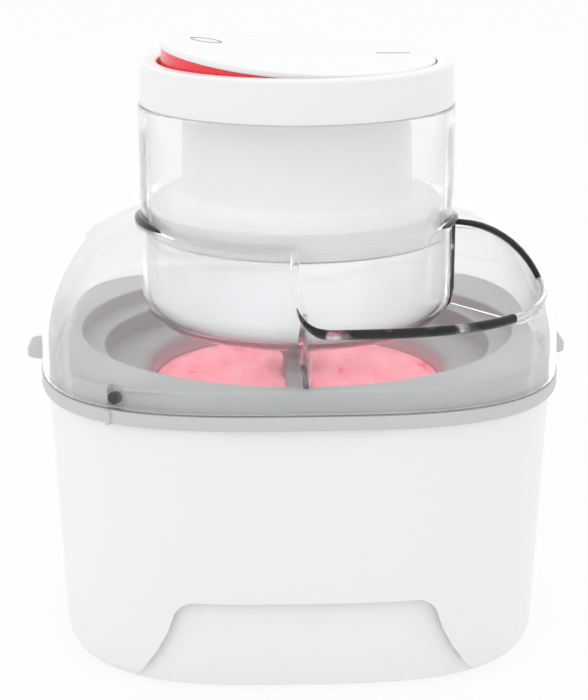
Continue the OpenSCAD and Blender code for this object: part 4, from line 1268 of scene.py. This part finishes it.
housing_profile += [(body_inner - FLANGE_EDGE, flange_inner)]
housing_profile += [(body_inner, flange_inner - FLANGE_EDGE)]
upper_housing = ring_stack("upper_housing", turned(housing_profile), closed=True)
finish_piece(upper_housing, white_gloss, "motor_unit", ["motor_housing"])

# %% Cap ring
RING_BOTTOM = 238.0
RING_TOP = 256.6
RING_RADIUS = 70.0
RING_DRAFT = 0.7
RING_EDGE = 1.6
RING_WALL = 3.0
RING_HOLE = 62.2
RING_LIP = 0.8
RING_FOOT_EDGE = 0.4
TRAY_BOTTOM = 240.8
TRAY_THICK = 2.0
TRAY_HOLE = 9.0

ring_inner = RING_RADIUS - RING_WALL
tray_top = TRAY_BOTTOM + TRAY_THICK
ring_profile = [(ring_inner, RING_BOTTOM), (RING_RADIUS - RING_FOOT_EDGE, RING_BOTTOM)]
ring_profile += [(RING_RADIUS, RING_BOTTOM + RING_FOOT_EDGE)]
ring_profile += arc(RING_RADIUS - RING_DRAFT - RING_EDGE, RING_TOP - RING_EDGE, RING_EDGE, 0, 90)
ring_profile += edge_down(RING_HOLE, RING_TOP, RING_LIP, 4)
ring_profile += [(RING_HOLE, tray_top), (TRAY_HOLE, tray_top)]
ring_profile += [(TRAY_HOLE, TRAY_BOTTOM), (ring_inner, TRAY_BOTTOM)]
switch_ring = ring_stack("switch_ring", turned(ring_profile), closed=True)
finish_piece(switch_ring, white_gloss, "motor_unit", ["cap_ring"])

# %% [markdown]
# ## Rocker switch
# The switch is a wide round rocker, hollowed along its length and tilted four degrees at rest.
# A white plate lies on a red skirt that shows only where the plate is raised. Both are stacks
# of round rings whose height follows the hollow, and both are then turned about the pivot.

# %% Rocker plate and skirt
PIVOT = 252.0
ROCKER_RADIUS = 61.0
ROCKER_MIDDLE = 6.4
ROCKER_DISH = 2.9
ROCKER_LIP = 3.0
ROCKER_TILT = 4.0
SKIRT_FOOT = 247.5
SKIRT_OUTER = 60.6
SKIRT_INNER = 57.8
PLATE_GAP = 0.05
PLATE_FOOT_EDGE = 0.5
PLATE_EDGE = 0.9


def follow_hollow(piece, flat_below=0.0):
    """Lifts each point by the rocker's hollow, apart from those below a height."""
    for vertex in piece.data.vertices:
        if vertex.co.z / MM >= flat_below:
            share = vertex.co.x / MM / ROCKER_RADIUS
            vertex.co.z += ROCKER_DISH * share * share * MM


def rest_tilt(piece):
    """Turns a rocker piece to its resting tilt, with its left side up."""
    return turn_about(piece, ROCKER_TILT, (0, 0, PIVOT), "Y")


plate_top = PIVOT + ROCKER_MIDDLE
plate_bottom = plate_top - ROCKER_LIP
plate_profile = [(radius, plate_bottom) for radius in (1, 20, 40, 56)]
foot_centre = (ROCKER_RADIUS - PLATE_FOOT_EDGE, plate_bottom + PLATE_FOOT_EDGE)
plate_profile += arc(*foot_centre, PLATE_FOOT_EDGE, -90, 0, 4)
plate_profile += arc(ROCKER_RADIUS - PLATE_EDGE, plate_top - PLATE_EDGE, PLATE_EDGE, 0, 90, 5)
plate_profile += [(radius, plate_top) for radius in (56, 50, 44, 38, 32, 26, 20, 14, 8, 1)]
rocker_plate = ring_stack("rocker_plate", turned(plate_profile))
follow_hollow(rocker_plate)
rest_tilt(rocker_plate)
finish_piece(rocker_plate, white_gloss, "rocker", ["rocker_cap"])

under_plate = plate_bottom - PLATE_GAP
skirt_profile = [(SKIRT_INNER, SKIRT_FOOT), (SKIRT_OUTER - 0.5, SKIRT_FOOT)]
skirt_profile += [(SKIRT_OUTER, SKIRT_FOOT + 0.5), (SKIRT_OUTER, under_plate)]
skirt_profile += [(SKIRT_INNER, under_plate)]
red_skirt = ring_stack("red_skirt", turned(skirt_profile), closed=True)
follow_hollow(red_skirt, PIVOT)
rest_tilt(red_skirt)
finish_piece(red_skirt, switch_red, "rocker", ["rocker_skirt"])

# %% [markdown]
# A circle for off and a bar for on are raised a little from the plate. Each is made at the
# middle first, and is then moved to its place, lifted by the hollow and tilted.

# %% Switch marks
MARK_RAISE = 0.12
MARK_ROOT = 0.2
OFF_PLACE = (-41.0, 20.0)
OFF_RADIUS = 7.2
ON_PLACE = (43.7, 16.5)
ON_LENGTH = 15.0
MARK_WIDTH = 0.9


def on_plate(piece, place):
    """Moves a mark from the middle to its place, on the hollow top, and tilts it."""
    for vertex in piece.data.vertices:
        vertex.co += Vector((*place, plate_top)) * MM
    follow_hollow(piece)
    return rest_tilt(piece)


off_inner = OFF_RADIUS - MARK_WIDTH
off_rings = turned([
    (off_inner, -MARK_ROOT), (OFF_RADIUS, -MARK_ROOT),
    (OFF_RADIUS, MARK_RAISE), (off_inner, MARK_RAISE),
])
off_mark = on_plate(ring_stack("off_mark", off_rings, closed=True, count=64), OFF_PLACE)
finish_piece(off_mark, mark_grey, "rocker")

bar_points = arc(ON_LENGTH / 2, 0, MARK_WIDTH / 2, -90, 90, 5)
bar_points += arc(-ON_LENGTH / 2, 0, MARK_WIDTH / 2, 90, 270, 5)
on_mark = prism(
    "on_mark", bar_points, MARK_RAISE + MARK_ROOT, lambda u, v, w: (u, v, w - MARK_ROOT)
)
on_plate(on_mark, ON_PLACE)
finish_piece(on_mark, mark_grey, "rocker")

# %% [markdown]
# ## Ice cream
# The bowl holds a batch of strawberry ice cream, the thing that the machine is for. It is a
# disc with many rings whose top is lifted by noise: soft folds that the paddle leaves, mounds
# near the arms and a little dip towards the wall. The material lets light into the surface.

# %% Ice cream
MIX_RADIUS = 66.3
MIX_LEVEL = 109.5
MIX_BOTTOM = 92.0
MIX_RINGS = 48
MIX_POINTS = 180
FOLD_CELL = (16, 30)
FOLD_HEIGHT = 2.4
RIPPLE_CELL = (3.5, 9)
RIPPLE_HEIGHT = 0.45
MOUND_HEIGHT = 1.6
MOUND_WIDTH = 14
WALL_DIP = 1.2
DIP_WIDTH = 8
MIX_SMOOTH = 80

mix_profile = [(1, MIX_BOTTOM), (MIX_RADIUS, MIX_BOTTOM), (MIX_RADIUS, MIX_LEVEL - 1)]
mix_profile += [
    (MIX_RADIUS * (1 - step / MIX_RINGS) + 0.7, MIX_LEVEL) for step in range(1, MIX_RINGS + 1)
]
ice_cream = ring_stack("ice_cream_mix", turned(mix_profile), count=MIX_POINTS)
for vertex in ice_cream.data.vertices:
    if vertex.co.z > (MIX_LEVEL - 0.5) * MM:
        x, y = vertex.co.x / MM, vertex.co.y / MM
        folds = noise.fractal(Vector((x / FOLD_CELL[0], y / FOLD_CELL[1], 0.0)), 0.9, 2.1, 5)
        ripple = noise.noise(Vector((x / RIPPLE_CELL[0], y / RIPPLE_CELL[1], 4.0)))
        mound = MOUND_HEIGHT * math.exp(-(x / MOUND_WIDTH) ** 2)
        near_wall = max(0.0, math.hypot(x, y) - MIX_RADIUS + DIP_WIDTH) / DIP_WIDTH
        lift = FOLD_HEIGHT * folds + RIPPLE_HEIGHT * ripple + mound - WALL_DIP * near_wall
        vertex.co.z += lift * MM


def frozen_mix(name):
    """Strawberry ice cream: pink, softly lit from inside, with redder flecks and fine crystals."""
    material, shader = new_finish(name, tone(255, 130, 145), 0.5)
    flecks = grain(shader, 90, 6, (1, 0.45, 1))
    red, pink = tone(244, 66, 92), tone(255, 152, 166)
    ramp = blend_colours(shader, flecks, red, pink, 0.29, 0.36)
    pale = ramp.color_ramp.elements.new(0.74)
    pale.color = tone(255, 180, 190)
    set_inputs(shader, {
        "Subsurface Weight": 0.35, "Subsurface Radius": (0.004, 0.0015, 0.0015),
        "Subsurface Scale": 1.0,
    })
    raise_surface(shader, grain(shader, 420, 8), 0.5)
    return material


ice_cream_pink = frozen_mix("ice_cream_pink")
finish_piece(ice_cream, ice_cream_pink, "paddle", smooth=MIX_SMOOTH)

# %% [markdown]
# ## Smaller pieces
# The paddle, the cord's gland, the floor plate and the bowl's jacket and liner have the right
# shape in the frame. They are copied with eased edges. What sits inside the machine keeps its
# frame solid and gets the finish of its own material.

# %% Copies and inner pieces
THIN_EDGE = 0.3
JACKET_EDGE = 0.6
PADDLE_EDGE = 0.8
paddle_moulding = eased_copy(
    "paddle", "paddle_moulding", paddle_grey, "paddle", PADDLE_EDGE
)
eased_copy("cord_gland", "gland_sleeve", bowl_grey, "motor_unit", THIN_EDGE)
eased_copy("base_floor", "floor_plate", white_inner, "base", THIN_EDGE)
eased_copy("bowl_jacket", "outer_jacket", white_inner, "bowl", JACKET_EDGE)
eased_copy("bowl_liner", "metal_liner", liner_metal, "bowl", THIN_EDGE)
dress(foot_rubber, "rubber_feet")
dress(steel, "base_screws", "gearbox_screws", "housing_screws", "motor_screws")
dress(steel, "compound_axle", "rotor_shaft", "output_shaft", "rocker_pivot_pins")
dress(coolant, "coolant_gel")
dress(white_inner, "filler_plug", "gear_plate")
dress(motor_steel, "motor_can")
dress(brass, "output_bush", "motor_pinion")
dress(gear_nylon, "compound_gear", "output_gear")
dress(switch_dark, "switch_body")
dress(switch_red, "switch_plunger")

# %% [markdown]
# The motor unit hangs close above the mix and would leave it in the dark. A photographer would
# bounce light in from below the lid. Here the unit's closed lower half casts no shadow, so that
# the studio light reaches the bowl.

# %% Light under the motor unit
SHADOWLESS_NODES = (
    "gear_plate", "gearbox_screws", "housing_screws", "motor_screws", "motor_can", "output_bush",
    "compound_axle", "rotor_shaft", "motor_pinion", "compound_gear", "output_gear", "output_shaft",
)
shadowless = [lower_cover, upper_housing] + [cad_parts[name] for name in SHADOWLESS_NODES]
for piece in shadowless:
    piece.visible_shadow = False
print("pieces without a shadow:", len(shadowless))

# %% [markdown]
# A lamp can be told which pieces it lights and which pieces throw a shadow in it. Three soft
# lamps here light only what stands under the lid: one from the front for the motor unit's lower
# cover, and two from above for its flange and for the mix and the paddle.

# %% Lamps for what is under the lid
LID_LAMPS = {
    "lamp_unit": {"place": (-0.2, -1.25, 0.0), "size": 0.9, "power": 8},
    "lamp_flange": {"place": (-0.1, -0.5, 1.95), "size": 0.9, "power": 9},
    "lamp_mix": {"place": (0.0, -0.6, 1.5), "size": 0.9, "power": 18},
}
LIT_AND_SHADING = {
    "lamp_unit": ([lower_cover], [lower_cover]),
    "lamp_flange": ([upper_housing], [upper_housing]),
    "lamp_mix": ([ice_cream, paddle_moulding], [bowl_moulding, paddle_moulding]),
}


def named_group(name, pieces):
    """A collection that only names some pieces, for a lamp."""
    group = bpy.data.collections.new(name)
    for piece in pieces:
        group.objects.link(piece)
    return group


for lamp_name, lamp in LID_LAMPS.items():
    lit, shading = LIT_AND_SHADING[lamp_name]
    linking = soft_lamp(lamp_name, **lamp).light_linking
    linking.receiver_collection = named_group(lamp_name + "_lit", lit)
    linking.blocker_collection = named_group(lamp_name + "_shading", shading)
print("lamps under the lid:", ", ".join(LID_LAMPS))
